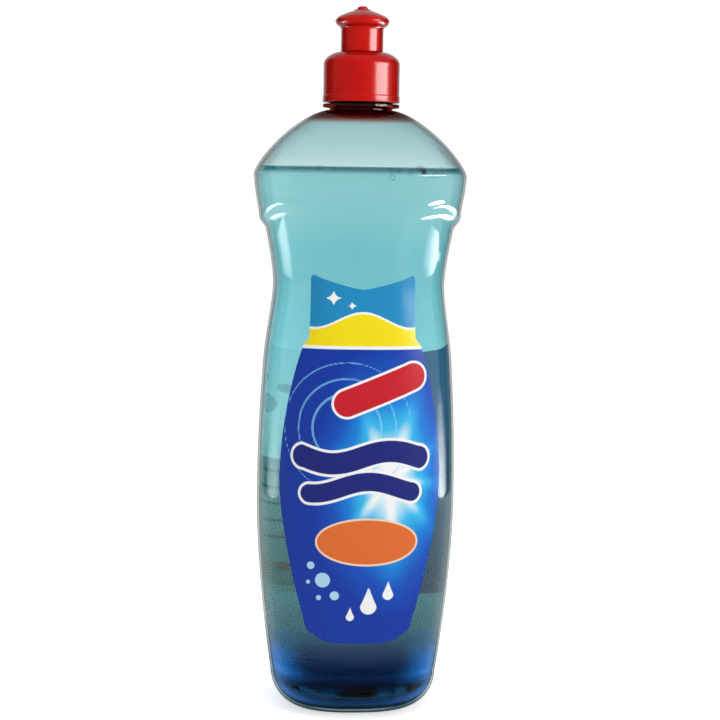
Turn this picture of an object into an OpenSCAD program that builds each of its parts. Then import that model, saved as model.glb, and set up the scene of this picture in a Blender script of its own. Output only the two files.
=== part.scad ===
// Rinse aid bottle for one litre: a clear blow-moulded oval bottle with a grip scooped into each side of its
// waist, the liquid in it, a die-cut label in front, a plain one behind, and a screwed push-pull closure.
// Millimetres. The base stands on z = 0, the front faces -Y, and the neck's axis is x = y = 0.

/* [Body sections] */
// Width across the shoulder, the widest place
shoulder_w = 88.4; // [84:0.2:92]
// Depth at the shoulder
shoulder_d = 73; // [68:0.5:78]
// Width across the waist, before the grips are scooped out
waist_w = 74.6; // [70:0.2:80]
// Depth at the waist
waist_d = 69.5; // [64:0.5:74]
// Width across the belly
belly_w = 83.5; // [80:0.5:90]
// Depth at the belly
belly_d = 72; // [66:0.5:76]
// Width just above the heel
base_w = 70.5; // [66:0.5:76]
// Depth just above the heel
base_d = 63; // [58:0.5:68]
// Squareness of the oval: 2 is a true ellipse, more is squarer
squareness = 2.6; // [2.2:0.1:3]

/* [Body heights] */
// Height of the belly's widest place
belly_z = 88; // [80:1:96]
// Height of the waist
waist_z = 180; // [174:1:186]
// Height of the shoulder's widest place
shoulder_z = 226; // [222:0.5:229]
// Height at which the dome meets the neck
dome_z = 252.4; // [250:0.2:258]

/* [Walls and base] */
// Thickness of the side wall
wall = 0.8; // [0.6:0.1:1.2]
// Thickness of the base
base_wall = 1.6; // [1.2:0.1:2.4]
// Radius of the heel, where the side rolls into the base
heel_r = 15; // [12:0.5:17]
// Width of the flat ring that the bottle stands on
foot_w = 3; // [2:0.5:5]
// Height of the push-up in the middle of the base
punt_h = 4; // [2:0.5:6]

/* [Grips] */
// Depth of the scoop in each side of the waist
grip_depth = 1.6; // [0.8:0.1:2.4]
// Height of the scoop's upper edge at the very side
grip_z = 207; // [203:0.5:210]
// How far that edge arches up towards the front and the back
grip_arch = 6.5; // [3:0.5:8]
// Height over which the edge rolls into the scoop
grip_lip = 5; // [4:0.5:8]
// Height at which the scoop has run out
grip_end = 148; // [140:1:156]

/* [Neck finish] */
// Outer diameter of the neck, at the root of its thread
neck_d = 25.9; // [25:0.1:26.2]
// Diameter of the mouth
mouth_d = 22.4; // [21:0.1:23]
// Height of the neck from the dome to the lip
neck_h = 17.6; // [17.4:0.1:20]
// Outer diameter of the thread
thread_d = 27.7; // [27.3:0.1:27.9]
// Rise of the thread in one turn
thread_pitch = 4.233; // [4:0.01:4.4]
// Diameter of the support ring under the closure
support_d = 31.8; // [29:0.2:33]
// Thickness of the support ring
support_t = 1.8; // [1.4:0.1:2]
// Height of the bare neck under the support ring
support_gap = 0.6; // [0.5:0.1:1.2]

/* [Contents] */
// Height of the liquid
liquid_z = 228; // [200:1:234]

/* [Front label] */
// Height of the label's lower edge
label_low = 34; // [30:1:40]
// Height of the shield's widest place
label_mid = 100; // [90:1:110]
// Height of the shield's upper edge, where the tab begins
label_neck = 156; // [146:1:160]
// Height of the tab's upper corners
label_top = 186; // [180:1:190]
// Width of the lower edge
label_low_w = 39; // [34:1:44]
// Width at the widest place
label_mid_w = 65.5; // [60:0.5:68]
// Width of the shield's upper edge
label_neck_w = 48.5; // [46:0.5:52]
// Width of the tab
tab_w = 43; // [36:1:46]
// Height over which the shield narrows to the tab
tab_run = 5; // [3:0.5:8]
// Depth of the dip in the tab's upper edge
tab_dip = 6; // [0:0.5:10]
// How far the lower edge rises at its corners
low_rise = 4; // [0:0.5:8]
// Thickness of both labels, drawn thicker than film is
film_t = 0.2; // [0.15:0.05:0.3]

/* [Back label] */
// Width of the back label
back_w = 56; // [40:1:60]
// Height of its lower edge
back_low = 44; // [38:1:60]
// Height of its upper edge
back_top = 148; // [120:1:160]
// Radius of its corners
back_corner = 6; // [3:0.5:12]

/* [Closure] */
// Outer diameter of the closure at its rim
cap_d = 32; // [31.4:0.1:33]
// Wall of the closure's skirt
cap_wall = 1.7; // [1.4:0.1:1.8]
// Gap between the closure's rim and the support ring
rim_gap = 0.7; // [0.5:0.1:1.2]
// Height of the slightly wider band at the rim
band_h = 2.6; // [2:0.1:4]
// Thickness of the sealing ring
seal_t = 1.2; // [0.8:0.1:1.6]
// Height of the sloped top of the closure
slope_h = 4.8; // [4:0.1:5.4]
// Diameter of the flat at the top of the slope
seat_d = 20.4; // [19.6:0.1:22]
// Outer diameter of the spout tube
spout_d = 14; // [13:0.1:14.2]
// Wall of the spout tube
spout_wall = 1.2; // [1:0.1:1.5]
// Diameter of the centre post that shuts the nozzle
post_d = 4.4; // [3.6:0.1:5]
// Height that the tip of the post stands above the nozzle
post_tip = 1.4; // [0.8:0.1:2]
// Thickness of the three webs that carry the post
web_t = 1.2; // [0.8:0.1:1.6]

/* [Nozzle] */
// Outer diameter of the nozzle's sleeve
sleeve_d = 17.5; // [17.1:0.1:18.5]
// Height of the sleeve under the flange
sleeve_h = 10; // [9.5:0.5:12]
// Wall of the sleeve
sleeve_wall = 1.15; // [1:0.05:1.2]
// Diameter of the flange that the fingers pull on
flange_d = 22.4; // [20.5:0.1:25]
// Height of the flange, from its under side to the shallow cone on top
flange_h = 4.6; // [4:0.1:6]
// Height of the cone on top, with the raised lip of the outlet
crown_h = 2.8; // [2:0.1:3.5]
// How far the nozzle pulls up
pull = 6; // [5:0.1:6]

/* [Clearances] */
// Gap between parts that turn or slide on each other
slip = 0.2; // [0.15:0.05:0.25]
// Gap between faces that are pressed together
touch = 0.1; // [0.05:0.05:0.15]

/* [Hidden] */
// Sides of the oval rings, and of the round parts
sides = 48;
$fn = 96;

neck_r = neck_d / 2;
lip_z = dome_z + neck_h;
support_z = dome_z + support_gap;
rim_z = support_z + support_t + rim_gap;
thread_w = 2.3;
thread_crest_w = 1.1;
thread_turns = 1.5;
thread_step = 15;
thread_root = 0.4;
// Heights at which the neck's thread and the closure's start, and the radius of the closure's crest
thread_z = lip_z - 2.2 - thread_turns * thread_pitch;
cap_thread_z = thread_z + thread_pitch / 2;
cap_thread_r = thread_d / 2 - 0.75;
// Film is lifted off the skin by this much, so that its flat faces stay outside the bottle's
film_lift = 0.2;
// Largest width and height of the flat cells that a label is made of
film_cell_w = 4.1;
film_cell_h = 6;
// Heights at which the spacing of the body's rings changes: they lie close at the grips' upper edge
flank_z = waist_z - 30;
edge_low = grip_z - grip_lip - 2;
edge_high = grip_z + grip_arch + 1;

seal_z = lip_z + touch;
deck_z = seal_z + seal_t + touch;
bore_r = cap_d / 2 - cap_wall;
corner_z = deck_z - 0.2;
seat_z = corner_z + slope_h;
deck_t = 1.5;
nozzle_z = seat_z + slip;
flange_z = nozzle_z + sleeve_h;
brim_z = flange_z + flange_h;
crown_z = brim_z + crown_h;
roof_z = crown_z - 3;
sleeve_r = sleeve_d / 2 - sleeve_wall;
spout_r = spout_d / 2;
rib_r = spout_r + slip;
rib_h = 1.2;
bead_r = sleeve_r - slip;
bead_h = 1.5;
bead_z = nozzle_z + rib_h + pull + slip;
post_r = post_d / 2;
outlet_r = post_r + slip;
post_z = crown_z + post_tip;
web_z = seat_z + 1;
web_h = 5;

// Forms of the body

function clamp01(t) = max(0, min(1, t));
function smooth(t) = let (s = clamp01(t)) s * s * (3 - 2 * s);
// Rises from 0 to 1 with its own softness at the start and at the end
function ease(t, start, end) = 1 - pow(1 - pow(clamp01(t), start), end);
function mix(from, to, t) = from + (to - from) * t;

// Half of the body's width or depth at height z, from its four stations. The dome ends on the neck.
function half_at(z, base, belly, waist, shoulder) =
    z < belly_z ? mix(belly, base, pow((belly_z - z) / (belly_z - heel_r), 1.7)) / 2
    : z < waist_z ? mix(waist, belly, ease((waist_z - z) / (waist_z - belly_z), 1.25, 2.3)) / 2
    : z < shoulder_z ? mix(waist, shoulder, ease((z - waist_z) / (shoulder_z - waist_z), 1.57, 1.57)) / 2
    : mix(neck_r, shoulder / 2, pow(1 - pow(dome_at(z), 1.25), 0.66));
function dome_at(z) = clamp01((z - shoulder_z) / (dome_z - shoulder_z));
function half_w(z) = half_at(z, base_w, belly_w, waist_w, shoulder_w);
function half_d(z) = half_at(z, base_d, belly_d, waist_d, shoulder_d);

// The oval gets rounder up the dome and is a circle at the neck
function square_at(z) = mix(squareness, 2, dome_at(z));
function oval(angle, half_x, half_y, n) = [
    sign(cos(angle)) * half_x * pow(abs(cos(angle)), 2 / n),
    sign(sin(angle)) * half_y * pow(abs(sin(angle)), 2 / n)
];

// Depth of the grip's scoop: an arched upper edge, a long run-out below, and nothing on the front and back
function scoop(angle, z) =
    let (edge = grip_z + grip_arch * pow(sin(2 * angle), 2),
         upper = smooth((edge - z) / grip_lip),
         lower = smooth((z - grip_end) / (waist_z - grip_end)),
         side = smooth((abs(cos(angle)) - cos(74)) / (cos(48) - cos(74))))
    grip_depth * upper * lower * side;

// A point of the body's skin. inset is measured inwards from the outside, along the section.
function skin(angle, z, inset = 0) =
    let (o = oval(angle, half_w(z) - inset, half_d(z) - inset, square_at(z)))
    o * (1 - scoop(angle, z) / norm(o));

function ring(z, inset, level) = [for (i = [0 : sides - 1]) concat(skin(i * 360 / sides, z, inset), level)];

// Rings of the base, from the middle outwards, for a skin that lies t inside the outside
function base_rings(t) = [for (s = [0.4, 0.75, 1]) base_ring(s, t)];
function base_ring(s, t) =
    let (reach = heel_r + foot_w,
         half_x = (half_w(heel_r) - reach) * s,
         half_y = (half_d(heel_r) - reach) * s)
    [for (i = [0 : sides - 1])
        concat(oval(i * 360 / sides, half_x, half_y, squareness), punt_h * (1 - s * s) + t)];
// Rings of the heel: a quarter turn from the foot to the side, as the base wall thins into the side wall
function heel_rings(t_base, t_side) = [for (turn = [0 : 15 : 90])
    let (t = mix(t_base, t_side, turn / 90))
    ring(heel_r, heel_r * (1 - sin(turn)) + t * sin(turn), heel_r * (1 - cos(turn)) + t * cos(turn))];
// Heights of the rings from the heel to the neck: close together where the grips begin and near the neck
heights = concat(
    levels(heel_r, flank_z, 8),
    levels(flank_z, edge_low, 4),
    levels(edge_low, edge_high, 7),
    levels(edge_high, shoulder_z, 2),
    [for (s = [0.15, 0.3, 0.45, 0.6, 0.72, 0.83, 0.91, 0.96, 0.985]) mix(shoulder_z, dome_z, s)]
);
function levels(from, to, count) = [for (i = [1 : count]) mix(from, to, i / count)];
// The inside has a ring at the liquid's level as well
inner_heights = concat([for (z = heights) if (z < liquid_z - 1) z], liquid_z,
                       [for (z = heights) if (z > liquid_z + 1) z]);
// A ring of a skin that lies t inside the outside. Up the dome, t turns from level to upright.
function wall_ring(z, t) = ring(z, t * cos(90 * dome_at(z)), z - t * sin(90 * dome_at(z)));
function neck_ring(r, z) =
    [for (i = [0 : sides - 1]) let (a = i * 360 / sides) [r * cos(a), r * sin(a), z]];

// Joins rings of one length into a closed skin, from a point at the first ring's middle to one at the last's.
// turn is which way the four-sided faces are split.
module lofted(rings, first, last, turn = false) {
    n = len(rings[0]);
    m = len(rings);
    points = concat([first], [for (r = rings) each r], [last]);
    low = [for (i = [0 : n - 1]) [0, 1 + i, 1 + (i + 1) % n]];
    walls = [for (k = [0 : m - 2], i = [0 : n - 1])
        let (a = 1 + k * n + i, b = 1 + k * n + (i + 1) % n)
        each turn ? [[a, b + n, b], [a, a + n, b + n]] : [[a, a + n, b], [b, a + n, b + n]]];
    high = [for (i = [0 : n - 1]) let (k = 1 + (m - 1) * n) [k + i, m * n + 1, k + (i + 1) % n]];
    polyhedron(points, concat(low, walls, high));
}

// The blown shell: up the outside to the neck's wall, and down the inside again
module shell() {
    seat_r = (neck_r + mouth_d / 2) / 2;
    outside = concat(base_rings(0), heel_rings(0, 0), [for (z = heights) wall_ring(z, 0)],
                     [neck_ring(seat_r, dome_z)]);
    inside = concat(base_rings(base_wall), heel_rings(base_wall, wall),
                    [for (z = inner_heights) wall_ring(z, wall)], [neck_ring(seat_r, dome_z - wall)]);
    back = [for (i = [len(inside) - 1 : -1 : 0]) inside[i]];
    lofted(concat(outside, back), [0, 0, punt_h], [0, 0, punt_h + base_wall]);
}

// The neck: a tube with a rounded lip, and the ring that the filling line holds it by
module neck() {
    in_r = mouth_d / 2;
    rotate_extrude() polygon([
        [in_r, dome_z - wall - 0.3], [neck_r, dome_z - wall / 2], [neck_r, support_z],
        [support_d / 2 - 0.4, support_z + 0.3], [support_d / 2, support_z + 0.7],
        [support_d / 2, support_z + support_t - 0.3], [support_d / 2 - 0.3, support_z + support_t],
        [neck_r, support_z + support_t], [neck_r, lip_z - 0.4], [neck_r - 0.4, lip_z], [in_r + 0.3, lip_z],
        [in_r, lip_z - 0.3]
    ]);
}

// A screw thread as a swept trapezoid that runs out at both ends, with its root sunk into the wall
module thread(root_r, crest_r, start_z, turns) {
    steps = floor(turns * 360 / thread_step);
    rings = [for (k = [0 : steps])
        let (grow = clamp01(min(k, steps - k) / 2 + 0.15),
             r = mix(root_r, crest_r, grow),
             z = start_z + thread_pitch * k * thread_step / 360,
             wide = thread_w / 2,
             narrow = mix(thread_w, thread_crest_w, grow) / 2,
             a = k * thread_step,
             section = crest_r > root_r
                 ? [[root_r - thread_root, -wide], [r, -narrow], [r, narrow], [root_r - thread_root, wide]]
                 : [[root_r + thread_root, wide], [r, narrow], [r, -narrow], [root_r + thread_root, -wide]])
        [for (p = section) [p[0] * cos(a), p[0] * sin(a), z + p[1]]]];
    points = [for (r = rings) each r];
    walls = [for (k = [0 : steps - 1], i = [0 : 3])
        let (a = 4 * k + i, b = 4 * k + (i + 1) % 4)
        each [[a, b, a + 4], [b, b + 4, a + 4]]];
    last = 4 * steps;
    ends = [[0, 3, 2], [0, 2, 1], [last, last + 1, last + 2], [last, last + 2, last + 3]];
    polyhedron(points, concat(walls, ends));
}

module bottle() color([0.78, 0.9, 0.92, 0.4]) {
    union() {
        shell();
        neck();
        thread(neck_r, thread_d / 2, thread_z, thread_turns);
    }
}

// The liquid fills the shell's inside up to its level, a hair clear of the wall
module rinse_liquid() color([0.35, 0.78, 0.82, 0.8]) {
    gap = touch / 2;
    body = concat(base_rings(base_wall + gap), heel_rings(base_wall + gap, wall + gap),
                  [for (z = inner_heights) if (z <= liquid_z) wall_ring(z, wall + gap)]);
    top = body[len(body) - 1][0][2];
    lofted(body, [0, 0, punt_h + base_wall + gap], [0, 0, top], true);
}

// Labels: film that follows the body's skin

// The angle at which the section at height z has this distance from the middle, on the front or the back
function angle_at(x, z, side) =
    let (c = pow(min(1, abs(x) / half_w(z)), square_at(z) / 2))
    side * acos(sign(x) * c);
// A grid of points over a label, lifted off the skin. u runs across, v up.
function film_point(u, v, shape, lift, side) =
    let (z = film_z(u, v, shape), x = u * film_half_w(z, shape))
    concat(skin(angle_at(x, z, side), z, -lift), z);
// Rows of the back label lie closer together towards its rounded ends
function film_z(u, v, shape) = shape == "front"
    ? mix(label_low + low_rise * pow(abs(u), 5), label_top - tab_dip * (1 - pow(abs(u), 1.3)), v)
    : mix(back_low, back_top, (1 - cos(180 * v)) / 2);
function film_half_w(z, shape) = shape == "front"
    ? (z < label_mid ? mix(label_mid_w, label_low_w, pow((label_mid - z) / (label_mid - label_low), 1.5))
       : z < label_neck ? mix(label_mid_w, label_neck_w, pow((z - label_mid) / (label_neck - label_mid), 2))
       : mix(label_neck_w, tab_w, smooth((z - label_neck) / tab_run))) / 2
    : back_w / 2 - back_corner * (1 - sqrt(1 - pow(corner_run(z), 2)));
// How far into its rounded corners the back label is at height z: 0 on the straight sides, 1 at the ends
function corner_run(z) = max(0, 1 - min(z - back_low, back_top - z) / back_corner) * 0.999;

module film(shape, side, width, low, top) {
    across = ceil(width / film_cell_w);
    up = ceil((top - low) / film_cell_h);
    n = across + 1;
    m = up + 1;
    points = [for (lift = [film_lift, film_lift + film_t], j = [0 : up], i = [0 : across])
        film_point(2 * i / across - 1, j / up, shape, lift, side)];
    over = n * m;
    face = [for (j = [0 : up - 1], i = [0 : across - 1])
        let (a = j * n + i) each [[a, a + n, a + 1], [a + 1, a + n, a + n + 1]]];
    rim = concat([for (i = [0 : across]) i], [for (j = [1 : up]) j * n + across],
                 [for (i = [across - 1 : -1 : 0]) up * n + i], [for (j = [up - 1 : -1 : 1]) j * n]);
    edge = [for (k = [0 : len(rim) - 1])
        let (a = rim[k], b = rim[(k + 1) % len(rim)]) each [[a, b, b + over], [a, b + over, a + over]]];
    outer = [for (f = face) [f[2] + over, f[1] + over, f[0] + over]];
    faces = concat(face, outer, edge);
    polyhedron(points, side > 0 ? faces : [for (f = faces) [f[2], f[1], f[0]]]);
}

module front_label() color("royalblue") film("front", -1, label_mid_w, label_low, label_top);

module back_label() color("steelblue") film("back", 1, back_w, back_low, back_top);

// Closure

module sealing_ring() color("white")
    translate([0, 0, seal_z]) difference() {
        cylinder(h = seal_t, r = bore_r - slip);
        translate([0, 0, -1]) cylinder(h = seal_t + 2, r = mouth_d / 2);
    }

// One moulding: skirt, sloped top, spout tube with its retaining bead, and the post on three webs
module closure_cap() color("firebrick") {
    union() {
        rotate_extrude() polygon(cap_profile());
        rotate_extrude() polygon(post_profile());
        for (a = [30, 150, 270]) rotate([0, 0, a])
            translate([post_r - 0.4, -web_t / 2, web_z])
                cube([spout_r - spout_wall / 2 - post_r + 0.4, web_t, web_h]);
        thread(bore_r, cap_thread_r, cap_thread_z, 1);
    }
}
function cap_profile() = let (r = cap_d / 2, wide = seat_d / 2, tube = spout_r - spout_wall) [
    [bore_r + 0.3, rim_z], [r - 0.2, rim_z], [r, rim_z + 0.2], [r, rim_z + band_h],
    [r - 0.15, rim_z + band_h + 0.15],
    for (a = [0 : 15 : 90]) [mix(wide, r - 0.2, pow(cos(a), 1.5)), mix(corner_z, seat_z, sin(a))],
    [spout_r, seat_z], [spout_r, bead_z],
    [bead_r, bead_z + 0.4], [bead_r, bead_z + bead_h - 0.6], [bead_r - 0.5, bead_z + bead_h],
    [tube, bead_z + bead_h], [tube, seat_z - deck_t], [wide - 0.6, seat_z - deck_t],
    [wide + 0.5, deck_z], [bore_r, deck_z], [bore_r, rim_z + 0.3]
];
function post_profile() = [
    [0, web_z], [post_r + 0.3, web_z], [post_r + 0.3, web_z + web_h], [post_r, web_z + web_h + 0.6],
    [post_r, post_z - 1], [post_r - 0.35, post_z - 0.4], [post_r - 1, post_z - 0.05], [0, post_z]
];

// The sleeve, its pull flange with a drooping brim, and the crown with the outlet
module pull_nozzle() color("red") rotate_extrude() polygon(nozzle_profile());
function nozzle_profile() = let (r = sleeve_d / 2, brim = flange_d / 2) [
    [rib_r, nozzle_z + 0.3], [rib_r + 0.3, nozzle_z], [r - 0.2, nozzle_z], [r, nozzle_z + 0.2],
    [r, flange_z - 0.4], [r + 0.4, flange_z], [brim - 0.5, flange_z + 1.2],
    [brim, brim_z - 2.3], [brim - 0.1, brim_z - 1.5],
    [brim - 0.7, brim_z - 0.5], [brim - 1.5, brim_z], [brim * 0.62, brim_z + crown_h * 0.5],
    [outlet_r + 1.3, crown_z - 0.4], [outlet_r + 0.6, crown_z], [outlet_r, crown_z], [outlet_r, roof_z],
    [sleeve_r - 0.6, roof_z], [sleeve_r, roof_z - 0.6], [sleeve_r, nozzle_z + rib_h + 0.4],
    [rib_r, nozzle_z + rib_h - 0.1]
];

bottle();
rinse_liquid();
front_label();
back_label();
sealing_ring();
closure_cap();
pull_nozzle();
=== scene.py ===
"""The looks of a one litre rinse aid bottle: a clear blow-moulded oval bottle, its blue-green contents, two film labels
of a generic print, and a glossy red push-pull closure.

Sizes are millimetres until a piece is written to its mesh, which is in metres. The base stands on z = 0, the front
faces -Y and the neck's axis is x = y = 0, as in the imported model.
"""

import logging
import math
from dataclasses import dataclass
from enum import Enum
from typing import Callable

import bpy
import numpy as np
from mathutils import Matrix, Vector


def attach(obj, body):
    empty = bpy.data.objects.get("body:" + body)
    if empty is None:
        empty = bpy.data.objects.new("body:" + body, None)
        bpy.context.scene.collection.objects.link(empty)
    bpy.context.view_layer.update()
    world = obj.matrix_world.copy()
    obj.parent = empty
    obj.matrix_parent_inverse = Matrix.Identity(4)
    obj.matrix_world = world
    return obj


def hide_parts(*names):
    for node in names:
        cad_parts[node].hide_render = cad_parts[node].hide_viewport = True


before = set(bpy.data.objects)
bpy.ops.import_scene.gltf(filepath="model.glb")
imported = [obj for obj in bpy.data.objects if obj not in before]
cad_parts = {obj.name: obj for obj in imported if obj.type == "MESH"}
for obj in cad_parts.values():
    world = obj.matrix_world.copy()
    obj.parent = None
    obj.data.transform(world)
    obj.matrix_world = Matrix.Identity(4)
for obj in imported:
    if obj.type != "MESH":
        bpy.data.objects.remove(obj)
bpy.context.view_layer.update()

LOG = logging.getLogger("rinse_aid_bottle")
MM = 0.001


# Forms shared by all pieces


def clamp01(t: np.ndarray) -> np.ndarray:
    """Hold t between 0 and 1."""
    return np.clip(t, 0.0, 1.0)


def smooth(t: np.ndarray) -> np.ndarray:
    """Ease from 0 to 1 with level ends: three t squared minus two t cubed."""
    s = clamp01(t)
    return s * s * (3.0 - 2.0 * s)


def ease(t: np.ndarray, start: float, end: float) -> np.ndarray:
    """Ease from 0 to 1 with its own softness at each end.

    The value is one minus the power `end` of one minus the power `start` of t.

    Args:
        t: Where along the way, clamped to 0 and 1.
        start: Softness at 0, where 1 is a straight start.
        end: Softness at 1, where 1 is a straight end.

    Returns:
        The eased share, from 0 to 1.
    """
    return 1.0 - (1.0 - clamp01(t) ** start) ** end


def mix(low: float, high: float, t: np.ndarray) -> np.ndarray:
    """Go from low at t = 0 to high at t = 1."""
    return low + (high - low) * t


@dataclass
class Skin:
    """A mesh in the making.

    Attributes:
        points: Corners in millimetres, one row each.
        quads: Four-sided faces as rows of four corner numbers.
        triangles: Three-sided faces as rows of three corner numbers.
    """

    points: np.ndarray
    quads: np.ndarray
    triangles: np.ndarray

    @staticmethod
    def from_rings(rings: np.ndarray, poles: np.ndarray | None = None, loop: bool = False) -> "Skin":
        """Join rings of points into a skin that is closed round each ring.

        Args:
            rings: Points as an array of rings, corners and three coordinates.
            poles: Two points that close the first and the last ring with a fan, or None.
            loop: Whether the last ring joins the first again, as on a tube bent into a loop.

        Returns:
            The skin, with its faces turned outwards.
        """
        rows, columns = rings.shape[:2]
        row = np.arange(rows if loop else rows - 1)[:, None]
        column = np.arange(columns)[None, :]
        beside, above = (column + 1) % columns, (row + 1) % rows
        corners = (row * columns + column, row * columns + beside, above * columns + beside, above * columns + column)
        quads = np.stack(np.broadcast_arrays(*corners), -1).reshape(-1, 4)
        points, triangles = rings.reshape(-1, 3), np.zeros((0, 3), int)
        if poles is not None:
            first, last = len(points), len(points) + 1
            points = np.concatenate([points, poles])
            c, d = np.arange(columns), (np.arange(columns) + 1) % columns
            low = np.stack([np.full(columns, first), d, c], -1)
            top = (rows - 1) * columns
            high = np.stack([np.full(columns, last), top + c, top + d], -1)
            triangles = np.concatenate([low, high])
        return Skin(points, quads, triangles).outwards()

    @staticmethod
    def from_sheet(outer: np.ndarray, inner: np.ndarray) -> "Skin":
        """Close two grids of points into a thin sheet with a rim round its edge.

        Args:
            outer: Grid of points on the side that shows.
            inner: Grid of the same shape on the other side.

        Returns:
            The sheet, with the outer grid's faces first, then the inner's, then the rim's.
        """
        rows, columns = outer.shape[:2]
        number = np.arange(rows * columns).reshape(rows, columns)
        cells = np.stack([number[:-1, :-1], number[:-1, 1:], number[1:, 1:], number[1:, :-1]], -1).reshape(-1, 4)
        edge = np.concatenate([number[0, :-1], number[:-1, -1], number[-1, :0:-1], number[:0:-1, 0]])
        after = np.roll(edge, -1)
        over = rows * columns
        rim = np.stack([edge, edge + over, after + over, after], -1)
        points = np.concatenate([outer.reshape(-1, 3), inner.reshape(-1, 3)])
        return Skin(points, np.concatenate([cells, cells[:, ::-1] + over, rim]), np.zeros((0, 3), int)).outwards()

    def outwards(self) -> "Skin":
        """Turn all faces over if the volume that they enclose comes out negative."""
        halves = [self.triangles, self.quads[:, [0, 1, 2]], self.quads[:, [0, 2, 3]]]
        a, b, c = (self.points[np.concatenate(halves)[:, k]] for k in range(3))
        if np.einsum("ij,ij->", a, np.cross(b, c)) < 0:
            return Skin(self.points, self.quads[:, ::-1], self.triangles[:, ::-1])
        return self

    @staticmethod
    def joined(*skins: "Skin") -> "Skin":
        """Put several skins into one, each with its own corners."""
        starts = np.cumsum([0] + [len(s.points) for s in skins[:-1]])
        return Skin(
            np.concatenate([s.points for s in skins]),
            np.concatenate([s.quads + n for s, n in zip(skins, starts)]),
            np.concatenate([s.triangles + n for s, n in zip(skins, starts)]),
        )


def rounded(corners: np.ndarray, radii: np.ndarray | float, steps: int = 6) -> np.ndarray:
    """Round the corners of a closed outline.

    Each corner gives way to a quadratic curve that leaves and meets its two sides at the corner's radius, or at
    0.48 of the side where the side is short.

    Args:
        corners: Outline corners, one row of two coordinates each.
        radii: One radius for all corners, or one each.
        steps: Points on each curve.

    Returns:
        The rounded outline.
    """
    before, after = np.roll(corners, 1, 0) - corners, np.roll(corners, -1, 0) - corners
    long_before, long_after = np.linalg.norm(before, axis=1), np.linalg.norm(after, axis=1)
    reach = np.minimum(np.broadcast_to(radii, long_before.shape), 0.48 * np.minimum(long_before, long_after))
    start = corners + before * (reach / long_before)[:, None]
    end = corners + after * (reach / long_after)[:, None]
    t = np.linspace(0.0, 1.0, steps)[None, :, None]
    curve = (1 - t) ** 2 * start[:, None] + 2 * t * (1 - t) * corners[:, None] + t**2 * end[:, None]
    return curve.reshape(-1, 2)


def turned(outline: np.ndarray, columns: int) -> np.ndarray:
    """Turn an outline round the Z axis.

    A point at radius r and height z becomes a ring of points at r times the cosine and the sine of each angle.

    Args:
        outline: Radius and height of each point.
        columns: Corners on each ring.

    Returns:
        Rings for Skin.from_rings.
    """
    angle = np.arange(columns) * 2 * np.pi / columns
    r, z = outline[:, 0:1], outline[:, 1:2]
    return np.stack(np.broadcast_arrays(r * np.cos(angle), r * np.sin(angle), z + 0 * angle), -1)


def rounded_block(centre: tuple[float, float, float], half: tuple[float, float, float], turn: float) -> Skin:
    """Make a block with soft edges.

    It is a superellipsoid: each coordinate is the block's half size times products of the cosines and sines of two
    angles, raised to a low power that keeps their signs.

    Args:
        centre: Middle of the block before it is turned.
        half: Half of its sizes.
        turn: Angle in degrees by which it is turned about the Z axis.

    Returns:
        The block as a skin.
    """
    power = 0.16
    u = np.linspace(-90, 90, 18)[1:-1, None] * np.pi / 180
    v = np.arange(32)[None, :] * 2 * np.pi / 32
    cu, su = np.abs(np.cos(u)) ** power, np.sign(np.sin(u)) * np.abs(np.sin(u)) ** power
    cv, sv = (np.sign(f(v)) * np.abs(f(v)) ** power for f in (np.cos, np.sin))
    local = np.stack(np.broadcast_arrays(half[0] * cu * cv, half[1] * cu * sv, half[2] * su), -1) + centre
    ends = np.array([[0, 0, -half[2]], [0, 0, half[2]]]) + centre
    spin = np.array(Matrix.Rotation(math.radians(turn), 3, "Z")).T
    return Skin.from_rings(local @ spin, ends @ spin)


@dataclass(frozen=True)
class Thread:
    """A screw thread raised on a cylinder.

    Attributes:
        root: Radius of the cylinder.
        crest: Radius of the thread's flat, below `root` where the thread points inwards.
        start: Height of its first end.
        turns: How often it goes round.
        pitch: Rise in one turn.
        foot_w: Width at the cylinder.
        crest_w: Width of the flat.
    """

    root: float
    crest: float
    start: float
    turns: float
    pitch: float = 4.233
    foot_w: float = 2.3
    crest_w: float = 1.1

    def rise(self, angle: np.ndarray, z: np.ndarray) -> np.ndarray:
        """How far the thread moves the surface outwards at each angle and height.

        The nearest turn's height above the point gives a trapezoid with soft flanks, which runs out over 30 degrees
        at both ends.

        Args:
            angle: Angles round the axis in radians, from 0 to two pi.
            z: Heights.

        Returns:
            The rise, in millimetres.
        """
        share = angle / (2 * np.pi)
        along = share + np.round((z - self.start) / self.pitch - share)
        away = np.abs(z - self.start - self.pitch * along)
        flank = smooth((self.foot_w / 2 - away) / ((self.foot_w - self.crest_w) / 2))
        fade = smooth(np.minimum(along, self.turns - along) * 12)
        return (self.crest - self.root) * flank * fade


# Nodes and materials


def linear(hex_colour: str) -> tuple[float, float, float, float]:
    """Turn an sRGB colour to the linear values that shaders take.

    Args:
        hex_colour: Six hex digits, such as "c8190a".

    Returns:
        Linear red, green and blue with an alpha of 1.
    """
    srgb = np.array([int(hex_colour[k : k + 2], 16) for k in (0, 2, 4)]) / 255.0
    rgb = np.where(srgb <= 0.04045, srgb / 12.92, ((srgb + 0.055) / 1.055) ** 2.4)
    return (float(rgb[0]), float(rgb[1]), float(rgb[2]), 1.0)


def add_node(tree: bpy.types.NodeTree, kind: str, inputs: dict | None = None, **settings: object) -> bpy.types.Node:
    """Add a node with its settings, values and links.

    Args:
        tree: Node tree that gets the node.
        kind: Type name of the node.
        inputs: Values or output sockets by the name or number of the input.
        settings: Properties of the node.

    Returns:
        The new node.
    """
    node = tree.nodes.new(kind)
    for name, value in settings.items():
        setattr(node, name, value)
    for key, value in (inputs or {}).items():
        if isinstance(value, bpy.types.NodeSocket):
            tree.links.new(value, node.inputs[key])
        else:
            node.inputs[key].default_value = value
    return node


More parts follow.
